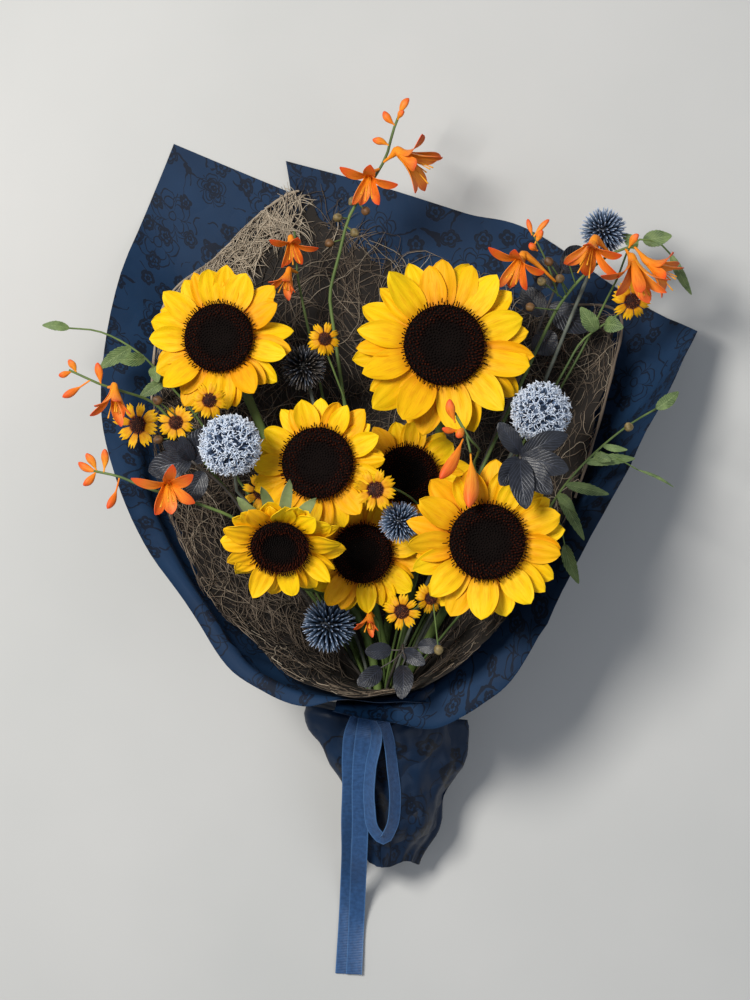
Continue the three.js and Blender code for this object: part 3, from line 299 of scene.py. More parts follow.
def draw(index, seed):
    """A draw from 0 to 1, the same each time: the fraction of a large sine of the index and seed."""
    wave = np.sin(np.asarray(index) * 12.9898 + seed * 78.233) * 43758.5453
    return wave - np.floor(wave)


def matrices(*rows):
    """Stacked matrices from rows of arrays, as (copies, rows, columns)."""
    return np.moveaxis(np.array(rows), -1, 0)


def facing(face, spin=0.0):
    """Turns +Z to each face by the shortest way, after a spin about +Z, as (copies, 3, 3)."""
    face = unit(np.atleast_2d(np.asarray(face, float)))
    spin = np.broadcast_to(spin, len(face))
    x, y, z = face.T
    zero = 0 * x
    cross = matrices([zero, zero, x], [zero, zero, y], [-x, -y, zero])
    tilt = np.eye(3) + cross + cross @ cross / np.maximum(1 + z, 1e-6)[:, None, None]
    c, s = np.cos(spin), np.sin(spin)
    return tilt @ matrices([c, -s, zero], [s, c, zero], [zero, zero, zero + 1])


def placed(shape, turn, at):
    """A whole shape turned and moved."""
    return shape[0] @ np.reshape(turn, (3, 3)).T + np.asarray(at), shape[1], shape[2]


def gathered(shapes):
    """Several shapes as one."""
    starts = np.cumsum([0] + [len(shape[0]) for shape in shapes])
    faces = [face + start for shape, start in zip(shapes, starts) for face in shape[1]]
    return np.concatenate([s[0] for s in shapes]), faces, np.concatenate([s[2] for s in shapes])


def spun(x, y, z, angle):
    """Copies of a grid of points, each turned by its own angle about +Z."""
    x, y, z = np.broadcast_arrays(x, y, z)
    c, s = np.cos(angle)[:, None, None], np.sin(angle)[:, None, None]
    return np.stack([x * c - y * s, x * s + y * c, z], -1)


def upward(turn, angle):
    """How far an arrow at that angle round a head points to the flower tips, along +Y."""
    return turn[0, 1, 0] * np.cos(angle) + turn[0, 1, 1] * np.sin(angle)


def petals(turn, length, width, root, tilt, curl, rise, seed, rows=16, columns=13):
    """Sunflower petals on a drum of radius root: u runs along and v across, from +1 to -1. The half width is
    a quarter sine up to the middle and an ellipse from there to the tip; the height is the slope tilt, its
    gain curl, an arch across, two grooves, a twist, a wave of the edges and a droop of the tip."""
    n = len(turn)
    u = np.linspace(0, 1, rows)[None, :, None]
    v = np.linspace(1, -1, columns)[None, None]

    def one(k):
        """The k-th draw of each petal."""
        return draw(np.arange(n), seed + k)[:, None, None]

    swell = 0.5 + 0.5 * np.sin(np.pi / 2 * np.minimum(u / 0.45, 1)) ** 1.1
    closing = (1 - np.clip((u - 0.42) / 0.58, 0, 1) ** (1.9 + 0.9 * one(11))) ** (0.62 + 0.2 * one(12))
    half = width[:, None, None] / 2 * np.where(u < 0.42, swell, closing + 0.012)
    span = length[:, None, None]
    y = half * v + span * (0.1 * (one(4) - 0.5)) * u**2
    z = rise[:, None, None] + span * (tilt[:, None, None] * u + curl[:, None, None] * u**2)
    z = z + half * (0.22 - 0.42 * one(13)) * v**2 * (0.3 + u) + half * v * np.sin(u * 1.5 * (one(5) - 0.5))
    z = z - 0.42 * np.cos(3 * np.pi * v) * (1 - u**4) * np.minimum(1, 4 * u)
    z = z + 0.9 * np.sin(2 * np.pi * (1.6 * u + one(6) + 0.3 * v)) * v**2 * u
    z = z + span * 0.22 * (one(7) - 0.5) * u**4
    x = root + span * u + 0 * v
    return spun(x, y, z, turn)


def dome(profile, radius, sides):
    """A turned shape: profile is (share of radius, height), from the rim in to the axis."""
    turn = np.arange(sides) * 2 * np.pi / sides
    share, height = np.array(profile, float).T
    r = np.maximum(share[:, None], 0.004) * radius
    return np.stack([r * np.cos(turn), r * np.sin(turn), height[:, None] + 0 * turn], -1)[None]


def pegs(spots, ahead, tall, wide, taper, bend=None):
    """Small florets: a tapered five-sided column of four rings on each spot, along ahead, bent at its tip by
    bend."""
    share = np.array([0, 0.45, 0.8, 1.0])
    path = spots[:, None] + ahead[:, None] * (tall[:, None] * share)[..., None]
    if bend is not None:
        path = path + bend[:, None] * (share**2)[None, :, None]
    radius = wide[:, None] * np.array(taper)
    return swept(path, radius, 5, np.roll(ahead, 1, -1)[:, None] + (0.1, 0.2, 0.3))


def blended(material, how, share, under, over):
    """One colour laid on another: how is the Mix node's blend type."""
    made = put(material, "Mix", data_type="RGBA", blend_type=how)
    for slot, value in ((0, share), (6, under), (7, over)):
        if isinstance(value, bpy.types.NodeSocket):
            material.node_tree.links.new(value, made.inputs[slot])
        else:
            made.inputs[slot].default_value = value
    return made.outputs[2]


def share_of(material, axis=0):
    """The share along a form, or across it for axis 1, which its UV map holds."""
    return put(material, "SeparateXYZ", {0: put(material, "UVMap").outputs[0]}).outputs[axis]


def tint_of(material):
    """The tint that each point of a form carries."""
    return put(material, "Attribute", attribute_name="tint").outputs["Fac"]


yellow = blank()
along = share_of(yellow)
veins = grain(yellow, 9, 3, "UV", (0.35, 2.6, 1), 0.6)
carried_tint = tint_of(yellow)
gold_out = {0.0: (194, 108, 0), 0.14: (228, 156, 0), 0.38: (246, 196, 0), 1.0: (250, 212, 8)}
fresh = ramp(yellow, along, gold_out)
darker = ramp(yellow, carried_tint, {0.0: (248, 214, 170), 0.5: (255, 246, 235), 1.0: (255, 255, 255)})
fresh = blended(yellow, "MULTIPLY", 1.0, fresh, darker)
stripe = ramp(yellow, veins, {0.34: (240, 212, 150), 0.5: (255, 255, 255)})
fresh = blended(yellow, "MULTIPLY", 0.75, fresh, stripe)
silk = ramp(yellow, veins, {0.3: 0.7, 0.7: 0.52})
yellow = painted(yellow, "sunflower_petal", fresh, silk, veins, 0.4, 0.0005, Specular_IOR_Level=0.22)

seed_brown = blank()
tall_share = share_of(seed_brown)
carried_tint = tint_of(seed_brown)
rings = {
    0.0: (17, 15, 13), 0.25: (13, 8, 7), 0.55: (24, 9, 5),
    0.78: (66, 24, 6), 0.9: (42, 14, 4), 1.0: (24, 10, 4),
}
ring_colour = ramp(seed_brown, carried_tint, rings)
tip_colour = ramp(seed_brown, tall_share, {0.0: (120, 110, 105), 0.8: (255, 235, 225)})
ring_colour = blended(seed_brown, "MULTIPLY", 0.9, ring_colour, tip_colour)
speck = ramp(seed_brown, grain(seed_brown, 900, 2), {0.63: (0, 0, 0), 0.72: (120, 62, 24)})
ring_colour = blended(seed_brown, "ADD", ramp(seed_brown, carried_tint, {0.6: 0.0, 0.75: 0.4}), ring_colour, speck)
velvet = grain(seed_brown, 2200, 2)
seed_brown = painted(seed_brown, "floret_brown", ring_colour, 0.9, velvet, 0.3, Specular_IOR_Level=0.12)

stem_green = blank()
tone = mottled(stem_green, 60, 4, (62, 84, 38), (108, 130, 66), "Object", (1, 0.25, 1))
stem_rough = grain(stem_green, 1500, 2, "Object", (1, 0.3, 1))
stem_green = painted(stem_green, "stem_green", tone, 0.62, stem_rough, 0.35, 0.0003)

sage = blank()
tone = mottled(sage, 70, 4, (84, 104, 56), (148, 162, 108))
sage = painted(sage, "bract_sage", tone, 0.75, grain(sage, 2600, 2), 0.5)


def softened(name, new_name, material):
    """A copy of a solid with its corners rounded: its loose triangles joined, paired into four-sided faces and
    subdivided once."""
    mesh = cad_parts[name].data.copy()
    mesh.name = new_name
    work = bmesh.new()
    work.from_mesh(mesh)
    bmesh.ops.remove_doubles(work, verts=work.verts, dist=2e-6)
    bmesh.ops.dissolve_degenerate(work, edges=work.edges, dist=2e-6)
    bmesh.ops.join_triangles(work, faces=work.faces, angle_face_threshold=0.6, angle_shape_threshold=1.2)
    for face in work.faces:
        face.smooth = True
    work.to_mesh(mesh)
    work.free()
    finer = settled(new_name, mesh, material, [name]).modifiers.new("rounding", "SUBSURF")
    finer.levels = finer.render_levels = 1


GOLDEN = np.pi * (3 - 5**0.5)
PETAL_WIDTH = 19
REACH_FOR_WIDTH = 55
DISC_FLORETS = 620
BRACTS = 14
BRACT_WIDTH = 8.0
DISC_PROFILE = [
    (0.7, 0), (0.86, 1.2), (0.96, 2.6), (0.985, 4), (0.93, 5.4),
    (0.8, 5.9), (0.6, 5.2), (0.4, 4.2), (0.2, 3.5), (0, 3.3),
]
for key, (at, face, reach, disc, count) in SUNFLOWERS.items():
    seed = ord(key)
    turn = facing(face, draw(1, seed) * np.pi)
    drum = 0.84 * disc

    # the two layers of petals, and a third of narrow ones that fills the gaps behind them; on the head that
    # faces the cut stems the upper petals stand up and look short
    faces_stems = key == "f"
    i = np.arange(count)
    front = i % 2
    length = (reach - drum) * np.where(front, 0.93, 1) * (0.92 + 0.16 * draw(i, seed))
    width = PETAL_WIDTH * (reach / REACH_FOR_WIDTH) * (0.84 + 0.3 * draw(i, seed + 1))
    tilt = np.where(front, 0.2 + 0.16 * draw(i, seed + 2), 0.02 + 0.06 * draw(i, seed + 2))
    curl = 0.04 - 0.26 * draw(i, seed + 3)
    if faces_stems:
        upper = np.clip(upward(turn, 2 * np.pi * i / count), 0, 1)
        tilt = tilt + 0.4 * upper
        length = length * (1 - 0.36 * upper)
    rise = np.where(front, -1.5, -2.9)
    angle = 2 * np.pi * (i + 0.5 * (draw(i, seed + 14) - 0.5)) / count
    layer = petals(angle, length + 0.1 * drum, width, drum * 0.9, tilt, curl, rise, seed)
    k = np.arange(count // 2)
    extra = petals(
        2 * np.pi * (2 * k + 1.3 + 0.5 * draw(k, seed + 20)) / count,
        (length[2 * k + 1] / 0.93 if faces_stems else reach - drum) * (0.88 + 0.18 * draw(k, seed + 21)),
        width[: count // 2] * 0.78,
        drum * 0.9,
        0.1 + 0.08 * draw(k, seed + 22) + (tilt[2 * k + 1] - 0.25) * faces_stems,
        -0.1 - 0.08 * draw(k, seed + 23),
        np.full(count // 2, -2.2),
        seed + 30,
    )
    shape = gathered([skin(layer, draw(i, seed + 9)), skin(extra, draw(k, seed + 24) * 0.6)])
    name = "sunflower_" + key
    add_piece(name + "_ray_petals", placed(shape, turn, at), yellow, [name + "_petals"], 0.45)

    # the disc and its florets: open and fuzzy round the rim, in bud inside, and low in the middle
    base = closed(dome(DISC_PROFILE, disc * 0.98, 40), 0.3)
    k = np.arange(DISC_FLORETS) + 0.5
    r = disc * 1.01 * np.sqrt(k / DISC_FLORETS) * (1 + 0.035 * (draw(k, seed + 4) - 0.5))
    share = r / disc * 0.93
    height = np.interp(share, [0, 0.2, 0.4, 0.6, 0.8, 0.9, 0.94], [3.2, 3.4, 4.1, 5.0, 5.4, 4.6, 3.6])
    spots = np.stack([r * np.cos(k * GOLDEN), r * np.sin(k * GOLDEN), height], -1)
    lean = np.interp(share, [0, 0.3, 0.6, 0.8, 0.94], [-0.25, -0.1, 0.15, 0.5, 1.15])
    lean = lean + 0.5 * (draw(k, seed) - 0.5) * share
    ahead = unit(np.stack([np.cos(k * GOLDEN) * lean, np.sin(k * GOLDEN) * lean, 1 + 0 * k], -1))
    tall = np.interp(share, [0, 0.3, 0.5, 0.62, 0.94], [0.9, 1.3, 1.7, 3.0, 2.7])
    tall = tall * (0.7 + 0.6 * draw(k, seed + 1))
    wide = np.interp(share, [0, 0.3, 0.55, 0.65, 0.94], [0.55, 0.75, 0.8, 0.5, 0.45]) * (disc / 25)
    bend = 1.8 * (draw(np.stack([k, k + 700, k + 1400], -1), seed + 2) - 0.5)
    bend = bend * np.clip(share * 2 - 0.6, 0, 1)[:, None]
    mood = np.interp(share, [0, 0.3, 0.45, 0.6, 0.7, 0.94], [0.0, 0.12, 0.3, 0.72, 0.85, 0.6])
    mood = mood + 0.16 * (draw(k, seed + 3) - 0.5)
    florets = closed(pegs(spots, ahead, tall, wide, [1, 0.85, 0.9, 0.35], bend), mood)
    shape = placed(gathered([base, florets]), turn, at)
    add_piece(name + "_floret_disc", shape, seed_brown, [name + "_disc"])

    # the stem with its cup, and a ring of pointed bracts behind the petals
    softened(name + "_stem", name + "_stalk", stem_green)
    i = np.arange(BRACTS)
    upper = np.clip(upward(turn, 2 * np.pi * i / BRACTS), 0, 1)
    bract = petals(
        2 * np.pi * (i + 0.3 * draw(i, seed + 6)) / BRACTS,
        disc * (0.72 + 0.3 * draw(i, seed + 7) + faces_stems * upper),
        np.full(BRACTS, BRACT_WIDTH),
        disc * 0.45,
        -0.02 - 0.14 * draw(i, seed + 8),
        0.06 * draw(i, seed + 9),
        np.full(BRACTS, -5.6),
        seed + 40,
        9,
        5,
    )
    add_piece(name + "_bracts", placed(skin(bract), turn, at), sage, [name + "_stem"], 0.5)

# ---- The globe thistles ----
# Each head is a ball of about three hundred tube florets on a wiry stem. The two pale ones are in flower, and
# each of their florets ends in five curled lobes; the others are still in spiky bud, steel blue with pale
# tips or, on one, brown. An entry: the head's middle, its radius, its face, whether it is in flower, and its
# tone.
OPEN_FLORETS = 320
BUD_FLORETS = 270
THISTLES = {
    "a": ((-58, 251, 80), 17, (-0.1, 0.4, 1), False, 0.12),
    "b": ((-105, 193, 182), 21.5, (-0.3, 0.2, 1), True, 1.0),
    "c": ((106, 216, 160), 21, (0.3, 0.2, 1), True, 0.95),
    "d": ((10, 141, 160), 15, (0, 0, 1), False, 0.6),
    "e": ((-40, 67, 98), 20, (-0.1, -0.4, 1), False, 0.5),
    "f": ((156, 348, 85), 17.5, (0.3, 1.2, 0.8), False, 0.62),
}
steel = blank()
tall_share = share_of(steel)
carried_tint = tint_of(steel)
# each ramp starts near black at a floret's foot: painted shade deep in the ball; the steel blue, the brown and
# the pale tips are the florets' own colours
in_bud = {0.0: (20, 30, 42), 0.5: (66, 88, 116), 0.8: (126, 148, 178), 1.0: (206, 214, 236)}
in_bloom = {0.0: (30, 42, 66), 0.4: (108, 130, 162), 0.7: (184, 200, 221), 1.0: (233, 240, 250)}
early_bud = {0.0: (12, 11, 10), 0.6: (52, 46, 42), 0.85: (84, 76, 68), 1.0: (150, 140, 128)}
dark_one, pale_one, brown_one = [ramp(steel, tall_share, stops) for stops in (in_bud, in_bloom, early_bud)]
opened = sums(steel, "MULTIPLY", sums(steel, "SUBTRACT", carried_tint, 0.5), 2.0)
bloom = blended(steel, "MIX", opened, dark_one, pale_one)
early = blended(steel, "MIX", ramp(steel, carried_tint, {0.12: 0.0, 0.3: 1.0}), brown_one, bloom)
steel = painted(steel, "thistle_blue", early, 0.6, grain(steel, 1800, 2), 0.2)

wiry = blank()
tone = mottled(wiry, 90, 3, (70, 76, 68), (112, 118, 106))
wiry = painted(wiry, "thistle_stem", tone, 0.7, grain(wiry, 1500, 2))

for key, (at, radius, face, in_flower, mood) in THISTLES.items():
    seed = ord(key)
    name = "globe_thistle_" + key
    turn = facing(face)
    n = OPEN_FLORETS if in_flower else BUD_FLORETS
    k = np.arange(n) + 0.5
    height = 1 - 1.94 * k / n
    ring = np.sqrt(1 - height**2)
    ahead = np.stack([ring * np.cos(k * GOLDEN), ring * np.sin(k * GOLDEN), height], -1)
    loose = 0.22 if in_flower else 0.1
    ahead = unit(ahead + loose * (draw(np.stack([k, k + 500, k + 999], -1), seed) - 0.5))
    core = 0.5 * radius
    ball = dome([(np.cos(t), np.sin(t) * core) for t in np.linspace(-np.pi / 2, np.pi / 2, 11)], core, 20)
    tip = radius * (0.9 + 0.14 * draw(k, seed + 1))
    tall = (tip - core) * (0.78 if in_flower else 1.0)
    florets = [closed(ball, mood)]
    # the core ball takes the near-black foot colour, painted shade between the florets, a little lighter in an
    # open head
    florets[0][2][:, 0] = 0.2 * in_flower
    taper = [0.7, 0.9, 1.1, 0.8] if in_flower else [1.2, 1.05, 0.75, 0.2]
    wide = np.full(n, (0.6 if in_flower else 0.8) * radius / 21)
    tint = np.clip(mood + 0.12 * (draw(k, seed + 2) - 0.5), 0, 1)
    shape = closed(pegs(ahead * core * 0.96, ahead, tall, wide, taper), tint)
    if in_flower:
        shape[2][:, 0] *= 0.66
        side = unit(np.cross(ahead, np.roll(ahead, 1, -1) + 0.2))
        other = np.cross(ahead, side)
        share = np.array([0, 0.25, 0.5, 0.75, 1.0])[None, :, None]
        for lobe in range(5):
            a = 2 * np.pi * (lobe + 1.5 * draw(k, seed + 3 + lobe)) / 5
            out = side * np.cos(a)[:, None] + other * np.sin(a)[:, None]
            hook = side * np.sin(a + 1.3)[:, None] - other * np.cos(a + 1.3)[:, None]
            high, open_out, hooked = [draw(k, seed + 10 * lobe + add)[:, None, None] for add in (4, 5, 6)]
            foot = ahead * (core * 0.96 + tall)[:, None]
            curve = foot[:, None] + ahead[:, None] * ((1.2 + 3.2 * high) * share - 0.8 * share**2)
            curve = curve + out[:, None] * ((0.8 + 1.7 * open_out) * share + 0.9 * share**2)
            curve = curve + hook[:, None] * 1.7 * (hooked - 0.3) * share**3
            thin = 0.42 * np.array([1, 0.95, 0.9, 0.8, 0.45])[None]
            lobes = closed(swept(curve, np.repeat(thin, n, 0), 4, ahead[:, None] + 0.01), tint)
            lobes[2][:, 0] = 0.66 + 0.34 * lobes[2][:, 0]
            florets.append(lobes)
    florets.append(shape)
    add_piece(name + "_florets", placed(gathered(florets), turn, at), steel, [name + "_head"])
    softened(name + "_stem", name + "_stalk", wiry)

# ---- The sprays between the sunflowers ----
# Crocosmia with orange funnel flowers, club buds and round seed pods, small coneflowers with toothed rays, dark
# smoky foliage and fine green sprigs. Each spray has one stalk, which follows its solid's stem down through the
# binding to its cut end. An entry gives the stalk's radius and its points from the top down, then its pieces:
# where each grows from, where it ends (a daisy: where it is and its face), its size, and as it may need one, a
# flower's face, where a daisy's own stalk starts, or how long a leaf is that ends a longer stalk.
SPRAYS = {
    "crocosmia_a": (1.3, [
        (10, 431, 84), (6, 421, 82), (1, 403, 78), (-9, 386, 72),
        (-25, 363, 62), (-33, 335, 56), (-40, 300, 50),
    ], [
        ("bud", (10, 431, 84), (17, 443, 86)),
        ("bud", (9, 428, 84), (13, 433, 91)),
        ("bud", (7, 424, 83), (-1, 434, 84)),
        ("bud", (3, 410, 80), (-9, 414, 82)),
        ("flower", (-2, 398, 76), (12, 403, 86), 33, (0.75, -0.55, 0.45)),
        ("flower", (-4, 394, 75), (-11, 388, 84), 25, (-0.15, -0.75, 0.6)),
        ("pod", (-12, 381, 70), (-23, 371, 73)),
        ("pod", (-20, 371, 66), (-14, 364, 74)),
        ("pod", (-26, 360, 61), (-34, 360, 66)),
        ("pod", (-28, 354, 60), (-22, 349, 67)),
        ("pod", (-31, 345, 58), (-40, 342, 62)),
    ]),
    "crocosmia_b": (1.3, [(178, 336, 106), (164, 332, 102), (146, 320, 92), (128, 300, 80), (112, 270, 68)], [
        ("bud", (172, 334, 105), (178, 343, 112)),
        ("flower", (160, 330, 100), (146, 336, 117), 29, (-0.35, -0.8, 0.5)),
        ("flower", (170, 333, 104), (174, 323, 114), 31, (0.2, -0.9, 0.35)),
        ("flower", (176, 335, 105), (186, 323, 111), 27, (0.75, -0.6, 0.3)),
        ("flower", (122, 312, 84), (97, 328, 92), 26, (-0.4, -0.75, 0.5)),
        ("twig", (124, 302, 81), (105, 347, 87), 0.8),
        ("bud", (105, 345, 87), (102, 357, 84), 1.9),
        ("bud", (106, 344, 87), (117, 356, 89), 2.0),
        ("bud", (107, 339, 86), (112, 348, 91), 2.4),
        ("bud", (109, 334, 86), (103, 339, 90), 2.6),
        ("pod", (136, 310, 86), (130, 326, 94)),
        ("pod", (132, 304, 82), (116, 325, 99)),
        ("pod", (130, 302, 81), (124, 313, 98)),
        ("pod", (128, 300, 80), (111, 311, 98)),
        ("pod", (124, 292, 78), (103, 293, 96)),
    ]),
    "crocosmia_c": (1.1, [
        (-219, 246, 138), (-206, 240, 140), (-197, 236, 139), (-184, 232, 134), (-160, 222, 112),
    ], [
        ("bud", (-217, 245, 138), (-226, 242, 140)),
        ("bud", (-214, 244, 138), (-219, 253, 141)),
        ("bud", (-204, 239, 140), (-223, 227, 143)),
        ("bud", (-197, 236, 139), (-199, 251, 142)),
        ("flower", (-192, 234, 138), (-187, 232, 146), 24, (0.12, -0.85, 0.5)),
    ]),
    "crocosmia_d": (1.2, [
        (-201, 176, 146), (-183, 172, 148), (-166, 165, 150),
        (-147, 159, 150), (-125, 152, 148), (-104, 143, 142),
    ], [
        ("bud", (-199, 176, 146), (-206, 188, 149)),
        ("bud", (-198, 175, 146), (-212, 182, 143)),
        ("bud", (-199, 176, 146), (-208, 166, 148)),
        ("bud", (-194, 175, 147), (-193, 191, 151)),
        ("bud", (-183, 172, 148), (-191, 150, 152)),
        ("flower", (-150, 160, 150), (-149, 168, 158), 26, (0.1, -0.6, 0.75)),
    ]),
    "crocosmia_e": (1.0, [
        (47, 215, 176), (51, 207, 184), (56, 198, 186), (62, 192, 174), (64, 188, 140), (64, 176, 108),
    ], [
        ("bud", (47, 208, 180), (43, 224, 183), 3.2),
        ("bud", (52, 197, 188), (36, 170, 202), 4.2),
        ("bud", (57, 187, 187), (55, 151, 207), 5.2),
        ("bud", (49, 203, 184), (38, 204, 188), 2.2),
        ("bud", (53, 205, 184), (48, 198, 190), 2.8),
        ("twig", (48, 212, 179), (57, 188, 187), 1.0),
    ]),
    "crocosmia_f": (1.1, [(-66, 352, 50), (-65, 340, 49), (-64, 322, 48), (-60, 300, 46)], [
        ("flower", (-65, 344, 50), (-68, 344, 60), 21, (0.1, -0.85, 0.45)),
        ("flower", (-64, 322, 48), (-70, 321, 60), 19, (-0.15, -0.85, 0.45)),
    ]),
    "crocosmia_g": (1.0, [(-8, 74, 116), (-7, 74, 108), (-5, 70, 96)], [
        ("flower", (-8, 74, 115), (-11, 76, 120), 15, (0, -0.8, 0.5)),
    ]),
    "coneflower_a": (0.9, [(-146, 210, 124), (-140, 208, 118), (-128, 202, 108)], [
        ("daisy", (-146, 210, 125), (-0.1, 0.1, 1), 14),
        ("daisy", (-122, 225, 138), (0.2, 0.1, 1), 14, (-140, 208, 118)),
        ("daisy", (-174, 209, 110), (-0.4, -0.1, 1), 18, (-134, 205, 113)),
        ("pod", (-128, 202, 108), (-158, 198, 128)),
        ("pod", (-135, 205, 114), (-158, 225, 136)),
    ]),
    "coneflower_b": (0.9, [(-43, 270, 98), (-43, 268, 90), (-42, 262, 80)], [
        ("daisy", (-43, 270, 99), (0.3, 0.1, 1), 13),
    ]),
    "coneflower_c": (0.9, [(-7, 163, 176), (-3, 163, 166), (5, 164, 150)], [
        ("daisy", (-7, 163, 177), (0, 0, 1), 16),
    ]),
    "coneflower_d": (0.9, [(11, 80, 158), (12, 79, 150), (14, 76, 132)], [
        ("daisy", (11, 80, 159), (0, -0.15, 1), 14),
        ("daisy", (31, 88, 143), (0.3, 0, 1), 12, (14, 76, 132)),
        ("pod", (33, 84, 146), (36, 54, 164)),
    ]),
    "coneflower_e": (1.0, [(176, 298, 88), (168, 290, 82), (140, 268, 66)], [
        ("daisy", (176, 298, 89), (0.1, -0.3, 1), 16),
        ("leaf", (152, 278, 73), (140, 294, 82), 12),
        ("leaf", (158, 282, 76), (170, 279, 88), 12),
    ]),
    "coneflower_f": (0.9, [(-87, 162, 116), (-86, 159, 108), (-82, 152, 96)], [
        ("daisy", (-87, 162, 117), (-0.2, -0.1, 1), 15),
    ]),
    "dark_foliage_a": (1.2, [(90, 184, 194), (91, 187, 180), (90, 188, 150), (84, 176, 120)], [
        ("leaf", (90, 184, 193), (76, 166, 202), 15),
        ("leaf", (90, 184, 193), (93, 150, 207), 17),
        ("leaf", (90, 184, 193), (110, 160, 204), 17),
        ("leaf", (90, 184, 191), (122, 176, 198), 17),
        ("leaf", (90, 185, 190), (122, 200, 190), 15),
        ("leaf", (91, 187, 182), (76, 208, 186), 13),
    ]),
    "dark_foliage_b": (1.2, [(-134, 183, 140), (-128, 178, 134), (-112, 164, 122)], [
        ("leaf", (-134, 183, 139), (-164, 176, 138), 20),
        ("leaf", (-134, 183, 139), (-153, 196, 146), 12),
        ("leaf", (-134, 183, 139), (-141, 200, 150), 11),
        ("leaf", (-132, 181, 137), (-124, 206, 142), 20),
        ("leaf", (-126, 176, 132), (-138, 154, 134), 16),
    ]),
    "dark_foliage_c": (1.3, [(128, 322, 70), (122, 306, 64), (112, 282, 58), (100, 250, 50)], [
        ("leaf", (118, 297, 61), (148, 279, 62), 20),
        ("leaf", (127, 320, 69), (106, 320, 66), 22),
        ("leaf", (127, 320, 69), (146, 338, 56), 18),
        ("leaf", (115, 290, 60), (100, 310, 56), 18),
        ("leaf", (110, 277, 57), (122, 262, 62), 20),
    ]),
    "dark_foliage_d": (1.1, [(12, 52, 152), (12, 54, 144), (12, 54, 118)], [
        ("leaf", (12, 52, 151), (11, 21, 171), 14, None, 26),
        ("leaf", (12, 52, 150), (-19, 30, 166), 13, None, 21),
        ("leaf", (12, 53, 146), (-14, 52, 154), 12, None, 19),
        ("leaf", (12, 52, 150), (27, 44, 160), 11),
        ("leaf", (12, 54, 144), (38, 56, 148), 11, None, 16),
    ]),
    "green_sprig_a": (0.9, [
        (190, 220, 116), (176, 212, 118), (152, 194, 122), (126, 167, 122), (112, 146, 114),
    ], [
        ("leaf", (190, 220, 116), (206, 232, 114), 9),
        ("pod", (172, 210, 118), (170, 207, 124)),
        ("leaf", (152, 194, 122), (169, 191, 124), 5),
        ("leaf", (146, 188, 122), (157, 183, 130), 7),
        ("leaf", (140, 182, 122), (175, 185, 118), 8),
        ("leaf", (150, 190, 121), (202, 165, 119), 2.2, None, 28),
        ("leaf", (126, 167, 122), (156, 160, 126), 8),
        ("leaf", (121, 160, 120), (132, 148, 130), 7),
        ("leaf", (121, 160, 120), (138, 128, 134), 8),
        ("leaf", (116, 152, 117), (134, 98, 136), 9, None, 30),
    ]),
    "green_sprig_b": (0.9, [(203, 331, 92), (196, 338, 92), (183, 342, 88), (166, 312, 66), (142, 262, 48)], [
        ("leaf", (184, 341, 88), (204, 344, 92), 12),
        ("leaf", (180, 336, 85), (170, 346, 84), 9),
        ("leaf", (203, 331, 92), (218, 302, 92), 7),
    ]),
    "green_sprig_c": (0.9, [
        (-226, 279, 82), (-206, 277, 82), (-186, 268, 81), (-170, 256, 79), (-158, 242, 75), (-138, 219, 68),
    ], [
        ("leaf", (-226, 279, 82), (-245, 281, 84), 7),
        ("leaf", (-182, 265, 81), (-204, 250, 86), 10),
        ("leaf", (-172, 257.5, 79.2), (-192, 256, 90), 10),
        ("leaf", (-166, 251.3, 77.7), (-162, 240, 88), 10),
        ("leaf", (-158, 242, 75), (-176, 230, 78), 9),
    ]),
}


def curve_at(where, values, t):
    """A smooth curve read at t: cubic pieces through values at the places where, with the slope at each one
    taken from its neighbours."""
    slope = np.gradient(values, where, axis=0)
    k = np.clip(np.searchsorted(where, t, side="right") - 1, 0, len(where) - 2)
    h = (where[k + 1] - where[k])[:, None]
    x = (t - where[k])[:, None] / h
    ends = (2 * x**3 - 3 * x**2 + 1) * values[k] + (3 * x**2 - 2 * x**3) * values[k + 1]
    return ends + (x**3 - 2 * x**2 + x) * h * slope[k] + (x**3 - x**2) * h * slope[k + 1]


def smooth(points, count):
    """A smooth curve through points, as count points by its chord length."""
    points = np.asarray(points, float)
    walked = np.r_[0, np.cumsum(np.linalg.norm(np.diff(points, axis=0), axis=1))]
    return curve_at(walked, points, np.linspace(0, walked[-1], count))


def stem_line(name, top):
    """The middle of a stem from its cut up to near top: the middle of its solid's cut by planes of even y, each
    time the cut nearest to where the last two point to."""
    corner = corners_of(name)
    ahead = np.roll(corner, -1, axis=1)
    line = []
    heights = np.r_[-82, -56, -30, -3, 8, 19, np.arange(25, top[1] - 7, 6)]
    for step, y in enumerate(heights):
        crossing = (corner[..., 1] - y) * (ahead[..., 1] - y) < 0
        low, high = corner[crossing], ahead[crossing]
        hits = low + ((y - low[:, 1]) / (high[:, 1] - low[:, 1]))[:, None] * (high - low)
        if not len(hits):
            break
        if step > 1:
            ratio = (y - heights[step - 1]) / (heights[step - 1] - heights[step - 2])
            guess = line[-1] + (line[-1] - line[-2]) * ratio
            nearest = hits[np.linalg.norm(hits - guess, axis=1).argmin()]
            hits = hits[np.linalg.norm(hits - nearest, axis=1) < 6]
        line.append((hits.min(0) + hits.max(0)) / 2)
    return np.array(line[:8] + line[8::2])


def rod(points, radius, count, sides, tint=0.5):
    """A round stalk along a smooth curve through points, of count rings; radius is a number or a row of them
    from end to end."""
    path = smooth(points, count)
    across = unit(np.cross(path[-1] - path[0], (0.2, 0.1, 1.0)) + 1e-3)
    if np.ndim(radius):
        radius = np.interp(np.linspace(0, 1, count), np.linspace(0, 1, len(radius)), radius)
    return closed(swept(path[None], radius, sides, across), tint)


def arched(start, end, bow, *how):
    """A rod from start to end, bowed by bow at its middle."""
    return rod([start, (np.array(start) + end) / 2 + bow, end], *how)


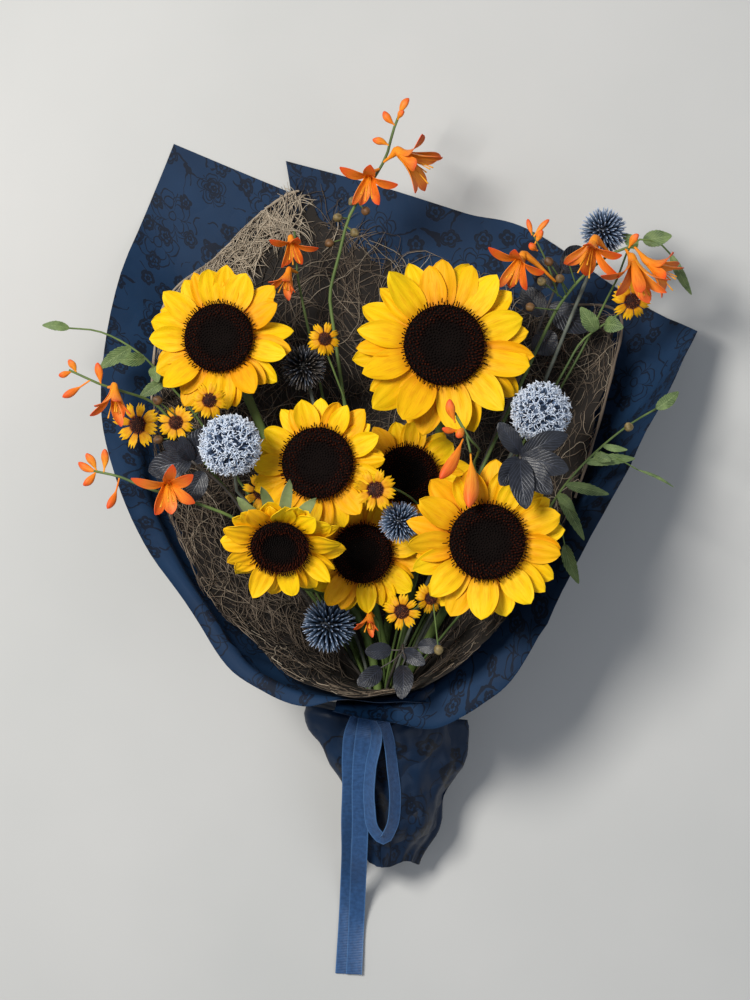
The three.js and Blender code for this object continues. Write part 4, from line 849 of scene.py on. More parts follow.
def bud(start, tip, seed, belly=None):
    """A crocosmia bud: a thin tube, a little bent, that swells to a club of radius belly near its tip, with
    three soft ribs."""
    start, tip = np.array(start, float), np.array(tip, float)
    span = np.linalg.norm(tip - start)
    foot = max(0.12, 1 - 14 / span) if belly is None else 0.12
    belly = belly or min(2.7, 0.17 * span + 0.6)
    s = np.linspace(0, 1, 22)
    full = np.clip((s - foot) / (1 - foot), 0, 1)
    radius = 0.6 + (belly - 0.6) * np.sin(np.pi * full**1.3) ** 0.85 - 0.35 * (s > 0.97)
    middle = (start + tip) / 2 + (draw(np.arange(3), seed) - (0.5, 0.5, 0.9)) * span * 0.14
    shape = rod([start, middle, tip], 1.0, 22, 12, 0.35 + 0.4 * draw(1, seed))
    path = smooth([start, middle, tip], 22)
    folded = radius[:, None] * (1 + 0.11 * np.cos(3 * np.arange(12) * np.pi / 6 + 2 * s[:, None]))
    ring = shape[0].reshape(22, 12, 3) - path[:, None]
    return (path[:, None] + ring * folded[..., None]).reshape(-1, 3), shape[1], shape[2]


def funnel_flower(start, mouth, size, seed, face=None):
    """A crocosmia flower: a tube that bends from start over to mouth and opens into six spoon-shaped tepals,
    three in front and three behind, each flared its own way, with three stamens and a style."""
    start, mouth = np.array(start, float), np.array(mouth, float)
    axis = unit(np.array(face, float)) if face else unit(mouth - start)
    turn = facing(axis, draw(3, seed) * 6)
    wide = size * 0.12
    i = np.arange(6)
    u = np.linspace(0, 1, 14)[None, :, None]
    v = np.linspace(1, -1, 9)[None, None]

    def one(k):
        """The k-th draw of each tepal."""
        return draw(i, seed + k)[:, None, None]

    span = size * (0.84 + 0.24 * one(0))
    spoon = 0.42 + 0.58 * np.sin(np.pi / 2 * np.minimum(u / 0.66, 1)) ** 1.5
    half = size * (0.14 + 0.05 * one(4)) * spoon * (1 - np.clip((u - 0.66) / 0.35, 0, 1) ** 2.3) ** 0.75
    back = (i % 2)[:, None, None]
    flare = 0.18 + 0.7 * one(1) ** 1.3
    x = wide * (1 - 0.18 * back) + span * (0.1 * u + flare * u**1.5) - 0.1 * np.abs(v) * half
    z = span * (np.sqrt(np.maximum(0.1, 1 - 0.7 * flare**2)) * u - 0.5 * flare * u**2.6) + 0.5 * back
    x = x - 0.34 * v**2 * half * (1 - 0.6 * u)
    y = half * v + span * 0.5 * (one(3) - 0.5) * u**2
    z = z + 0.24 * np.cos(2 * np.pi * v) * u * (1 - u)
    grid = spun(x, y, z, i * np.pi / 3)
    tepals = placed(skin(grid, 0.3 + 0.6 * draw(i, seed + 5)), turn, mouth)
    way = mouth - start
    bend = start + way * 0.5 + (unit(way) - axis) * np.linalg.norm(way) * 0.14
    near = mouth - axis * size * 0.16
    course = [start, (bend + near) / 2, near, mouth + axis * 0.6]
    tube = rod(course, [0.9, 1.2, 0.09 * size, 0.125 * size], 18, 12)
    tube[2][:, 0] = 0.02 + 0.1 * tube[2][:, 0]
    threads = []
    for k in range(4):
        way = np.array([np.cos(k * 1.7 + seed), np.sin(k * 1.7 + seed), 0]) * size * (0.08 + 0.05 * k)
        points = [(0, 0, -2), way * 0.4 + (0, 0, size * 0.4), way + (0, 0, size * (0.72 + 0.08 * k))]
        thread = rod(points, [0.28, 0.24, 0.24, 0.6], 9, 5, 0.9)
        thread[2][:, 0] = 0.0
        threads.append(placed(thread, turn, mouth))
    return tepals, tube, threads


DAISY_KNOBS = 70
DAISY_PROFILE = [(0.3, -1.8), (0.8, -1.2), (1.1, 0.4), (0.95, 1.7), (0.6, 2.9), (0, 3.3)]


def small_daisy(centre, face, reach, seed):
    """A small coneflower: eight petals with three teeth at the tip round a domed brown middle."""
    turn = facing(face, draw(2, seed) * 3)
    i = np.arange(8)
    u = np.linspace(0, 1, 10)[None, :, None]
    v = np.linspace(1, -1, 13)[None, None]

    def one(k):
        """The k-th draw of each petal."""
        return draw(i, seed + k)[:, None, None]

    radius = reach * 0.28
    span = reach * (0.66 + 0.1 * one(0)) * (1 - 0.13 * (1 - np.cos(3 * np.pi * v)) * u**3 - 0.1 * v**2 * u)
    spoon = 0.36 + 0.64 * np.sin(np.pi / 2 * np.minimum(u / 0.75, 1)) ** 1.2
    half = reach * 0.21 * (0.8 + 0.45 * one(1)) * spoon
    x = radius * 0.8 + span * u
    y = half * v + reach * 0.06 * (one(2) - 0.5) * u
    z = reach * (0.1 + 0.3 * one(3)) * u - reach * (0.05 + 0.5 * one(4)) * u**2 - 0.12 * half * v**2
    z = z - 0.22 * np.cos(2 * np.pi * v) * u + 0.2
    rays = placed(skin(spun(x, y, z, i * np.pi / 4), draw(i, seed + 5)), turn, centre)
    k = np.arange(DAISY_KNOBS) + 0.5
    r = radius * 1.1 * np.sqrt(k / DAISY_KNOBS)
    height = 3.2 * (1 - 0.75 * (r / radius / 1.1) ** 2)
    spots = np.stack([r * np.cos(k * GOLDEN), r * np.sin(k * GOLDEN), height], -1)
    ahead = unit(np.stack([spots[:, 0] * 0.16, spots[:, 1] * 0.16, 1 + 0 * k], -1))
    tall = 0.9 + 0.5 * draw(k, seed + 6)
    knobs = pegs(spots, ahead, tall, 0.42 + 0 * k, [1, 0.9, 0.9, 0.4])
    knobs = closed(knobs, 0.2 + 0.7 * draw(k, seed + 7))
    heart = closed(dome(DAISY_PROFILE, radius, 18), 0.2)
    return rays, placed(gathered([heart, knobs]), turn, centre)


def seed_pod(start, at, seed):
    """A seed capsule: a ribbed ball with a small nib on a thin stalk."""
    start, at = np.array(start, float), np.array(at, float)
    way = unit(at - start)
    stalk = arched(start, at, (0, 0, 0.8), 0.55, 8, 5)
    t = np.linspace(-1.5, 1.55, 11)
    height = (2.8 * np.sin(t) + 0.5 * np.maximum(0, np.sin(t)) ** 8) * 1.2
    ball = dome(np.stack([np.cos(t), height], -1), 3.3, 12)
    ball = ball * (1 + 0.035 * np.cos(3 * np.arange(12) * np.pi / 6))[None, None, :, None]
    return stalk, placed(closed(ball, draw(1, seed)), facing(way), at)


def blade(start, tip, width, seed, teeth=0):
    """A leaf from start to tip: the half width is a power of a sine, with teeth if asked, the halves fold up
    from the midrib, and the whole arches along its length by about a tenth of it."""
    start, tip = np.array(start, float), np.array(tip, float)
    x_way = unit(tip - start)
    y_way = unit(np.cross((0, 0, 1), x_way))
    z_way = np.cross(x_way, y_way)
    span = np.linalg.norm(tip - start)
    rows = 30 if teeth else 16
    u = np.linspace(0, 1, rows)[:, None]
    v = np.linspace(1, -1, 9)[None]
    lower, blunt = (0.85, 0.75) if teeth else (0.95, 0.6)
    half = width / 2 * (0.06 + 0.94 * np.sin(np.pi * u**lower) ** blunt)
    if teeth:
        half = half * (1 + 0.13 * ((u * teeth) % 1 - 0.5))
    bend, side, roll = draw(np.arange(3), seed + 0.5) - 0.5
    x = span * u - 0.1 * half * np.abs(v) * (teeth > 0)
    y = half * v + span * 0.12 * side * np.sin(np.pi * u)
    z = span * (0.1 + 0.1 * bend) * np.sin(np.pi * u) + 0.24 * half * np.abs(v) * (1 - u)
    z = z + half * v * roll * 0.5 * u + 0.16 * width / 10 * np.cos(u * 24 + 5 * np.abs(v)) * np.abs(v)
    grid = x[..., None] * x_way + y[..., None] * y_way + z[..., None] * z_way + start
    return skin(grid[None], draw(4, seed))


orange = blank()
along = share_of(orange)
carried_tint = tint_of(orange)
outward = {0.0: (250, 176, 36), 0.22: (252, 166, 34), 0.5: (255, 168, 52), 1.0: (240, 102, 46)}
warm = ramp(orange, along, outward)
deeper = ramp(orange, carried_tint, {0.3: (240, 168, 132), 0.85: (255, 255, 255)})
warm = blended(orange, "MULTIPLY", 0.7, warm, deeper)
fine = grain(orange, 8, 3, "UV", (0.4, 2.5, 1))
stripe = ramp(orange, fine, {0.35: (226, 150, 110), 0.55: (255, 255, 255)})
warm = blended(orange, "MULTIPLY", 0.55, warm, stripe)
orange = painted(orange, "crocosmia_orange", warm, 0.55, fine, 0.3, Specular_IOR_Level=0.35)

gold = blank()
along = share_of(gold)
warm = ramp(gold, along, {0.0: (60, 10, 5), 0.16: (100, 26, 6), 0.26: (224, 154, 2), 1.0: (241, 194, 8)})
fine = grain(gold, 8, 3, "UV", (0.4, 2.0, 1))
stripe = ramp(gold, fine, {0.35: (222, 170, 110), 0.55: (255, 255, 255)})
warm = blended(gold, "MULTIPLY", 0.6, warm, stripe)
gold = painted(gold, "coneflower_gold", warm, 0.6, fine, 0.3, Specular_IOR_Level=0.25)

maroon = blank()
carried_tint = tint_of(maroon)
knob = ramp(maroon, carried_tint, {0.2: (46, 18, 10), 0.6: (92, 40, 22), 0.9: (140, 78, 40)})
maroon = painted(maroon, "coneflower_heart", knob, 0.8, grain(maroon, 2000, 2))

pod_green = blank()
carried_tint = tint_of(pod_green)
husk = ramp(pod_green, grain(pod_green, 300, 3), {0.35: (92, 78, 44), 0.65: (146, 128, 84)})
riper = ramp(pod_green, carried_tint, {0.2: (204, 144, 112), 0.8: (255, 255, 255)})
husk = blended(pod_green, "MULTIPLY", 0.8, husk, riper)
pod_green = painted(pod_green, "seed_pod", husk, 0.55, grain(pod_green, 1300, 2), 0.25)


def gap(material, first, second):
    """How far two values lie apart."""
    return sums(material, "ABSOLUTE", sums(material, "SUBTRACT", first, second))


def leaf_finish(name, low, high, rib, roughness):
    """A leaf's material: mottled from low to high, with a pale midrib and slanting side veins, all sunk in."""
    made = blank()
    off = gap(made, share_of(made, 1), 0.5)
    slant = sums(made, "MULTIPLY", share_of(made), 9.0)
    slant = sums(made, "SUBTRACT", slant, sums(made, "MULTIPLY", off, 7.0))
    vein = gap(made, sums(made, "FRACT", slant), 0.5)
    nearest = sums(made, "MINIMUM", vein, sums(made, "MULTIPLY", off, 5.0))
    line = ramp(made, nearest, {0.0: 1.0, 0.09: 0.25, 0.2: 0.0})
    face = mottled(made, 160, 4, low, high)
    carried_tint = tint_of(made)
    face = blended(made, "MULTIPLY", 0.6, face, ramp(made, carried_tint, {0.0: 0.55, 1.0: 1.0}))
    face = blended(made, "MIX", line, face, rgb(*rib))
    dip = sums(made, "SUBTRACT", grain(made, 900, 2), line)
    return painted(made, name, face, roughness, dip, 0.4)


dark_leaf = leaf_finish("dark_leaf", (16, 18, 24), (36, 40, 50), (54, 59, 73), 0.4)
green_leaf = leaf_finish("green_leaf", (70, 96, 50), (122, 146, 84), (150, 168, 112), 0.58)
dusky = blank()
tone = mottled(dusky, 90, 3, (50, 46, 44), (84, 78, 72))
dusky = painted(dusky, "dusky_stalk", tone, 0.6, grain(dusky, 1500, 2))

KINDS = {
    "crocosmia": ("crocosmia", orange, stem_green),
    "coneflower": ("coneflower", gold, stem_green),
    "dark_foliage": ("dark_leaf", dark_leaf, dusky),
    "green_sprig": ("green_leaf", green_leaf, stem_green),
}
LEAF_TEETH = 9
for name, (radius, stalk, items) in SPRAYS.items():
    kind_of = name.rsplit("_", 1)[0]
    seed = ord(name[-1]) + len(name)
    below = stem_line(name, stalk[-1])[::-1]
    line = np.concatenate([np.array(stalk, float), below])
    stalks = [rod(line, [radius * 0.75, radius, radius, radius * 1.1], 60, 8)]
    flowers, broad, hearts, pods, leaves = [], [], [], [], []
    for k, (kind, start, end, *rest) in enumerate(items):
        if kind == "bud":
            flowers.append(bud(start, end, seed + k, *rest))
        elif kind == "twig":
            stalks.append(arched(start, end, (1.5, 0, 1.5), [rest[0], rest[0] * 0.8], 14, 6))
        elif kind == "pod":
            stem, ball = seed_pod(start, end, seed + k)
            stalks.append(stem)
            pods.append(ball)
        elif kind == "flower":
            tepals, tube, threads = funnel_flower(start, end, rest[0], seed + k, *rest[1:])
            flowers += [tube, *threads]
            broad.append(tepals)
        elif kind == "daisy":
            rays, heart = small_daisy(start, end, rest[0], seed + k)
            broad.append(rays)
            hearts.append(heart)
            if len(rest) > 1:
                stalks.append(arched(rest[1], start, (0, 0, -1.5), 0.7, 12, 6))
        else:
            start = np.array(start, float)
            if len(rest) > 2:
                way = unit(np.array(end, float) - start)
                foot = np.array(end) - way * rest[2]
                stalks.append(arched(start, foot, (1.5, 0, 2.5), 0.5, 14, 6))
                start = foot
            toothed = LEAF_TEETH if kind_of in ("green_sprig", "coneflower") else 0
            leaves.append(blade(start, end, rest[0], seed + k, toothed))
    slot, colour, stalk_colour = KINDS[kind_of]
    add_piece(name + "_stalk", gathered(stalks), stalk_colour, [name])
    if leaves:
        leaf_slot, leaf_colour = (slot, colour) if "leaf" in slot else ("green_leaf", green_leaf)
        add_piece(name + "_leaves", gathered(leaves), leaf_colour, [name], 0.4)
    if broad:
        add_piece(name + "_petals", gathered(broad), colour, [name], 0.4)
    if flowers:
        add_piece(name + "_buds", gathered(flowers), colour, [name])
    if hearts:
        add_piece(name + "_hearts", gathered(hearts), maroon, [name])
    if pods:
        add_piece(name + "_pods", gathered(pods), pod_green, [name])

# ---- The fibre wrap ----
# A funnel of coarse taupe plant fibres that lines the papers. Thin fibres cross at all angles on a felt whose
# near-black tint is painted shade for the dark gaps of an open net, end ragged at the rim, and fold over to a
# lighter strip with a rolled hem at the upper left, lighter partly in its own colour and partly by a painted
# highlight; the fibres low down, deep in the funnel and under the strip carry painted shade. A row of the rim:
# the degrees round the neck, from the front over the right, and the point there.
NET_RIM = [
    (0, 5, 24, 158), (12, 26, 28, 158), (36, 72, 62, 147), (60, 122, 130, 116),
    (84, 165, 250, 62), (96, 173, 290, 40), (120, 100, 303, -30), (144, 40, 322, -80),
    (180, -20, 355, -90), (216, -71, 385, -70), (240, -125, 338, -10), (252, -162, 299, 35),
    (264, -169, 215, 62), (276, -160, 160, 82), (288, -134, 102, 102), (312, -93, 58, 130),
    (324, -68, 36, 147), (336, -45, 26, 154), (348, -21, 21, 158), (360, 5, 24, 158),
]
NET_REST = 3.4
FIBRE_OUT = 2.6
FIBRES_A_SIDE = 2500
FIBRES_IN_FOLD = 560


def rim_at(rim, degrees, corners=()):
    """Points of a rim at those degrees: smooth curves between its corners."""
    table = np.array(rim, float)
    cuts = [0, *np.flatnonzero(np.isin(table[:, 0], corners)), len(table) - 1]
    flat = np.empty((np.size(degrees), 3))
    wanted = np.ravel(degrees)
    for low, high in zip(cuts, cuts[1:]):
        inside = (wanted >= table[low, 0]) & (wanted <= table[high, 0])
        flat[inside] = curve_at(table[low : high + 1, 0], table[low : high + 1, 1:], wanted[inside])
    return flat.reshape(*np.shape(degrees), 3)


def let_down(points, rest):
    """Points laid on the height rest: a height below it becomes rest, and within 9 mm of it the two join in a
    parabola."""
    bend = 9.0
    rise = points[..., 2] - rest
    lain = np.where(rise < -bend, 0, np.where(rise > bend, rise, (rise + bend) ** 2 / (4 * bend)))
    return np.concatenate([points[..., :2], (rest + lain)[..., None]], -1)


def fan(rim, degrees, share, out=FIBRE_OUT, rest=NET_REST):
    """A wrap's points: share of the way from the binding's loop, let out by out, to the rim, laid on the height
    rest. An outer wrap starts a little nearer to the cut ends."""
    neck = on_loop(np.radians(degrees), out, 19 - 1.3 * (out - FIBRE_OUT))
    return let_down(neck + (rim - neck) * np.asarray(share)[..., None], rest)


def normals(grid):
    """The arrows square to a grid (rows, columns, 3) at each of its points."""
    return unit(np.cross(np.gradient(grid, axis=1), np.gradient(grid, axis=0)))


def creases(points, seed, wave, count):
    """A crumple's height, about -1 to 1: the sum of folded flat waves of about that length, each along its own
    direction."""
    k = np.arange(count)
    way = unit(np.stack([draw(k, seed) - 0.5, draw(k, seed + 1) - 0.5, draw(k, seed + 2) - 0.5], -1))
    length = wave * (0.6 + 1.2 * draw(k, seed + 3))
    phase = points @ (way / length[:, None]).T + draw(k, seed + 4)
    folded = 1 - 4 * np.abs(phase - np.floor(phase) - 0.5)
    return (folded * length).sum(-1) / length.sum() * 2


# the fibres' tint runs this ramp from near black to pale; its dark end serves the painted shade that the felt
# and the low, deep or covered fibres carry
fibre_tone = blank()
carried_tint = tint_of(fibre_tone)
tones = {
    0.0: (24, 19, 15), 0.15: (46, 38, 31), 0.5: (112, 98, 84),
    0.85: (160, 144, 124), 1.0: (204, 190, 168),
}
shade = ramp(fibre_tone, carried_tint, tones)
shade = blended(fibre_tone, "MULTIPLY", 0.6, shade, mottled(fibre_tone, 60, 3, 0.62, 1.0))
fibre_tone = painted(fibre_tone, "plant_fibre", shade, 0.85, grain(fibre_tone, 3000, 2))

# the felt under the fibres, torn along its rim; its near-black tint of 0.03 is painted shade for the dark gaps
# of an open net
degrees = np.arange(0, 360, 2.0)
share = np.linspace(0, 1, 30) ** 0.8
rim = rim_at(NET_RIM, degrees)
torn = 0.955 + 0.03 * np.sin(degrees * 1.9) * np.sin(degrees * 0.83 + 1) + 0.02 * draw(degrees, 3)
felt = fan(rim[None], degrees[None], share[:, None] * torn[None])
felt = felt + normals(felt) * (0.9 * creases(felt, 7, 45, 9) * np.minimum(1, 3 * share)[:, None])[..., None]
felt[..., 2] = np.maximum(felt[..., 2], NET_REST + 0.2)
add_piece("fibre_felt", skin(felt[None], 0.03, True), fibre_tone, ["fibre_wrap"], 0.3)


FIBRE_POINTS = 13
STEEP = 0.08


def fibres(count, low, high, inner, outer, length, thick, lift, seed, tint):
    """Fibres strewn on the wrap between two angles and two shares: wavy lines that start anywhere and, seen
    from above, run any way: a step of the line is shared between the wrap's two directions by a least squares
    fit, damped where the wrap stands steep. There the lengths are evened and the fibres thinned out by the area
    that shows. Each lies on a random layer; the tint carries painted shade, darker on the lower layers, deep in
    the funnel near the binding and under the folded strip."""
    k = np.arange(count)

    # where each one lies: evenly along the rim and, by the area, from the inner to the outer share
    sweep = np.linspace(low, high, 200)
    walked = np.r_[0, np.cumsum(np.linalg.norm(np.diff(rim_at(NET_RIM, sweep % 360), axis=0), axis=1))]
    start = np.interp(draw(k, seed) * walked[-1], walked, sweep)
    reach = np.sqrt(inner**2 + (outer**2 - inner**2) * draw(k, seed + 1))

    def spot(share, degrees):
        """The wrap's points at those shares and degrees."""
        return fan(rim_at(NET_RIM, degrees % 360), degrees, share)

    # its way: the wrap's own two directions there, as seen from above, and the steps along them
    up = (spot(reach, start) - spot(reach - 0.01, start)) / 0.01
    around = spot(reach, start + 0.5) - spot(reach, start - 0.5)
    along = np.linalg.norm(up, axis=-1)[:, None]
    across = np.maximum(np.linalg.norm(around, axis=-1), 0.35)[:, None]
    seen = np.stack([(up / along)[:, :2], (around / across)[:, :2]], -1)
    heading = 2 * np.pi * draw(k, seed + 2)
    ahead = np.stack([np.cos(heading), np.sin(heading)], -1)
    square = np.einsum("nji,njk->nik", seen, seen) + STEEP * np.eye(2)
    step, aside = [
        np.linalg.solve(square, np.einsum("nji,nj->ni", seen, arrow)[..., None])[..., 0]
        for arrow in (ahead, ahead[:, ::-1] * (-1, 1))
    ]
    pace = np.linalg.norm(np.einsum("nij,nj->ni", seen, step), axis=-1)
    least = np.linalg.svd(seen, compute_uv=False)[:, -1] ** 2
    evened = np.clip(least / (least + STEEP) / pace, 0.25, 1) ** 0.8

    # its line, bent and wavy, which ends at the rim but sticks out past it where the wrap's top is ragged
    t = np.linspace(-0.5, 0.5, FIBRE_POINTS)[None] * (length * (0.5 + draw(k, seed + 3)) * evened)[:, None]
    bend = (draw(k, seed + 4) - 0.5)[:, None] * t**2 * 0.06
    bend = bend + 0.7 * np.sin(t / 3.4 + 6 * draw(k, seed + 10)[:, None])
    torn = np.where(np.abs(start - 168) < 50, 1.05, 1.0)[:, None] + 0.004 * draw(k, seed + 8)[:, None]
    share = np.clip(reach[:, None] + (t * step[:, :1] + bend * aside[:, :1]) / along, 0.02, torn)
    degrees = (start[:, None] + (t * step[:, 1:] + bend * aside[:, 1:]) / across) % 360
    path = spot(share, degrees)

    # how far in it lies: its layer, and near the front some that stand off at one end
    layer = draw(k, seed + 5)
    level = (lift[0] + (lift[1] - lift[0]) * layer)[:, None] + 0.5 * np.sin(t * 0.35 + k[:, None])
    fluff = np.clip(np.cos(np.radians(start + 35)), 0, 1) * 9 * draw(k, seed + 9) ** 2
    level = level + fluff[:, None] * (0.5 + t / length) ** 2
    inward = np.stack([-np.sin(np.radians(degrees)), 0.25 + 0 * degrees, -np.cos(np.radians(degrees))], -1)
    inward = np.where((path[..., 2] < NET_REST + 12)[..., None], (0, 0, 1.0), inward)
    path = path + unit(inward) * level[..., None]
    path[..., 2] = np.maximum(path[..., 2], NET_REST)

    # its thickness, its tone with painted shade, and whether it is kept
    thinning = np.interp(np.linspace(0, 1, FIBRE_POINTS), [0, 0.15, 0.85, 1], [0.5, 1, 1, 0.5])
    radius = thick * (0.7 + 0.6 * draw(k, seed + 6))[:, None] * thinning
    tone = tint[0] + (tint[1] - tint[0]) * draw(k, seed + 7)
    # painted shade: fibres on a low layer and deep in the funnel near the binding are darker, and those under
    # the folded strip at the upper left darker still
    if tint[0] < 0.9:
        tone = tone * (0.46 + 0.6 * layer) * (0.65 + 0.4 * np.clip((reach - 0.3) / 0.5, 0, 1))
        tone = np.where((np.abs(start - 234) < 24) & (reach > 0.85), 0.3 * tone, tone)
    kept = draw(k, seed + 12) < 0.12 + 1.5 * np.abs(np.linalg.det(seen))
    return closed(swept(path[kept], radius[kept], 3, (0.3, 0.5, 0.8)), tone[kept])


for name, low, high, seed in (("fibres_left", 180, 372, 11), ("fibres_right", -12, 192, 31)):
    strewn = fibres(FIBRES_A_SIDE, low, high, 0.12, 1.0, 46.0, 0.26, (-0.5, 2.2), seed, (0.3, 1.0))
    add_piece("wrap_" + name, strewn, fibre_tone, ["fibre_wrap"])
# the folded strip's fibres and its hem take the palest tints and none of the painted shade: partly the strip's
# own paler colour and partly a painted highlight where the raised fold catches the light
folded = [fibres(FIBRES_IN_FOLD, 212, 256, 0.92, 1.0, 26.0, 0.3, (2.0, 5.0), 51, (0.9, 1.0))]
for low, high, lift, tone in ((212, 262, 2.6, 0.9), (66, 112, 0.8, 0.45)):
    degrees = np.linspace(low, high, 90)
    hem = fan(rim_at(NET_RIM, degrees), degrees, 1.0 + 0 * degrees) + (0, 0, lift)
    folded.append(closed(swept(hem[None], 1.0 + 0.2 * np.sin(degrees), 8, (0.3, 0.2, 1)), tone))
add_piece("wrap_folded_strip", gathered(folded), fibre_tone, ["fibre_wrap"])

# ---- The two papers ----
# Two overlapping sheets of dark blue paper with a line-drawn flower print. Each is wrapped round the fibre
# from its own side, gathered at the binding, and puffs out below it to a crumpled skirt that narrows to its
# hem. The rows of the rims are like the fibre's. A row of the skirt: y, and there the middle's x, the half
# width, the half depth and the middle's z.
LEFT_RIM = [
    (120, 95, 318, -160), (144, 30, 345, -190), (180, -30, 370, -210), (204, -84, 392, -200),
    (240, -158, 423, -40), (252, -195, 325, 22), (264, -206, 240, 55), (276, -195, 180, 82),
    (288, -170, 126, 110), (300, -135, 78, 131), (312, -110, 41, 142), (324, -82, 22, 148),
    (336, -56, 13, 150), (348, -30, 16, 150), (360, -4, 15, 144), (384, 34, 13, 132),
]
RIGHT_RIM = [
    (-24, -37, 8, 149), (-12, -19, 4, 147), (0, 0, 1, 145), (24, 40, -1, 142),
    (36, 66, 12, 138), (48, 93, 35, 133), (60, 124, 92, 121), (72, 166, 170, 105),
    (84, 203, 238, 72), (96, 228, 280, 45), (108, 172, 316, -40), (120, 120, 352, -110),
    (144, 60, 371, -160), (168, 0, 390, -180), (204, -74, 410, -180),
]
SKIRT = np.array([
    (-7, 0, 57, 36, 44), (-50, 8, 41, 30, 36), (-80, 8.5, 32, 26, 29), (-112, 5, 21, 20, 22),
], float)
PAPER_OUT = 5.3
NECK_ROWS = 4
SKIRT_ROWS = 26


def eased(x):
    """0 below 0, 1 above 1 and a smooth step between them."""
    x = np.clip(x, 0, 1)
    return x * x * (3 - 2 * x)


def turned_out(arrows, angle, ahead):
    """Arrows that point out of the bunch: one that points against (sine, ahead, cosine) is turned over."""
    away = np.stack([np.sin(angle), ahead + 0 * angle, np.cos(angle)], -1)
    return arrows * np.sign((arrows * away).sum(-1, keepdims=True))


def skirt_sheet(angle, out):
    """A paper's skirt, crumpled, and the y of its rows: an ellipse at each y, its middle and half widths from
    SKIRT, that swells in sine waves round it, puffs out below the binding and ends in a wavy hem."""
    down = np.linspace(0, 1, SKIRT_ROWS)[:, None]
    y = -2.5 - 109.5 * down[:, 0]
    x, wide, deep, z = curve_at(SKIRT[::-1, 0], SKIRT[::-1, 1:], np.minimum(y, -7)).T[:, :, None]
    wide = wide + 4 * np.sin(np.pi * np.clip(down / 0.36, 0, 1))
    inward = 1.8 * (PAPER_OUT - out)[None]
    deep = deep - 3 * (1 - down) ** 6
    swell = 1 + 0.04 * np.sin(5 * angle + 1) + 0.02 * np.cos(9 * angle)
    swell = swell + 0.03 * down * np.sin(13 * angle + 3 * down)
    swell = swell + 0.035 * np.sin(11 * angle + 2.2 * np.sin(4 * angle)) * (1 - down)
    hem = 2 * np.sin(3 * angle) * down**3 - 1.3 * inward * (1 - down)
    hem = hem + 12 * np.clip(-np.sin(angle), 0, 1) ** 0.7 * (1 - down) ** 4
    across = x + (wide * swell - inward) * np.sin(angle)
    skirt = np.stack([across, y[:, None] + hem, z + (deep * swell - inward) * np.cos(angle)], -1)
    crumple = 4.2 * creases(skirt, 91, 28, 9) * np.minimum(1, 0.3 + 3 * down)
    return skirt + normals(skirt) * crumple[..., None], y


def wrapping(rim, corners, degrees, out, rest, hug, lip, off):
    """A paper as a grid from the rim (first row) through the binding to the skirt's hem, with the print's flat
    coordinates, in units of 100 mm: the fan unrolled round its apex, and the skirt round a cylinder. Where hug
    is 1 the paper follows the fibre, off outside it, and opens out only near its rim; where lip is 1 it leans
    in below its rim, whose last 10 mm turn out flat."""
    share = np.linspace(1, 0, 44)[:, None]
    angle = np.radians(degrees)[None]

    # the fan, its rolled lip, and the part that follows the fibre
    edge = rim_at(rim, degrees, corners)
    run = np.gradient(edge[:, :2], axis=0)
    away = np.concatenate([unit(np.stack([run[:, 1], -run[:, 0]], -1)), np.zeros((len(degrees), 1))], -1)
    upper = fan(edge[None], degrees[None], share + 0 * degrees, out[None], rest)
    rolled = eased((share - 0.8) / 0.11) * (1 - eased((share - 0.91) / 0.09)) * lip
    upper = upper + (-6.5 * away + (0, 0, 5.0)) * rolled[..., None]
    fibre_edge = rim_at(NET_RIM, degrees % 360)
    follow = fan(fibre_edge[None], degrees[None], 0.95 * share + 0 * degrees, out[None], rest)
    follow = follow + turned_out(normals(follow), angle, -0.5) * (off * np.minimum(1, 4 * share))[..., None]
    held = (hug * (1 - eased((share - 0.6) / 0.4)))[..., None]
    upper = upper + (follow - upper) * held

    # the rows at the binding, and the skirt
    sooner = 1.3 * (out - FIBRE_OUT)[None]
    above = np.linspace(1, 0, NECK_ROWS)[:, None]
    neck = on_loop(angle + 0 * above, out[None], above * (22 - 2 * sooner) - 3 + sooner)
    skirt, y = skirt_sheet(angle, out)
    grid = np.concatenate([upper, neck[1:], skirt])

    # crumples, the same ones in both papers, that only lift the paper where it lies
    ridge = np.maximum(creases(grid, 61, 95, 7) * 2.2 + creases(grid, 71, 40, 9) * 0.8 + 1.0, -0.5)
    below = len(grid) - len(upper)
    near_neck = np.clip(np.concatenate([share[:, 0], np.zeros(below)]) * 2.5, 0, 1)[:, None]
    lying = np.clip((14 - grid[..., 2]) / 10, 0, 1)
    loose = np.concatenate([1 - 0.85 * held[..., 0], np.ones((below, len(degrees)))])
    grid = grid + turned_out(normals(grid), angle, 0.3) * (ridge * near_neck * (1 - lying) * loose)[..., None]
    grid[..., 2] += 0.28 * (ridge + 0.5) * near_neck * lying * (grid[..., 1] > 30)
    grid[..., 2] = np.maximum(grid[..., 2], rest - 0.05)

    # the flat print, its angles measured along a row half way up
    step = np.linalg.norm(np.diff(upper, axis=0), axis=-1)[::-1].cumsum(0)[::-1]
    far = np.concatenate([step, np.zeros((1, len(degrees)))]) + 25
    half_way = 20
    apart = np.linalg.norm(np.diff(upper[half_way], axis=0), axis=-1)
    arc = np.r_[0, np.cumsum(apart / (0.5 * (far[half_way, 1:] + far[half_way, :-1])))]
    arc = arc - arc.mean()
    fan_print = np.stack([far * np.sin(arc), far * np.cos(arc)], -1)
    tail = np.concatenate([np.linspace(0, -22, NECK_ROWS)[1:], y - 15])[:, None]
    tail_print = np.stack([angle * 42 + 0 * tail, tail + 0 * angle], -1)
    return grid, np.concatenate([fan_print, tail_print]) / 100


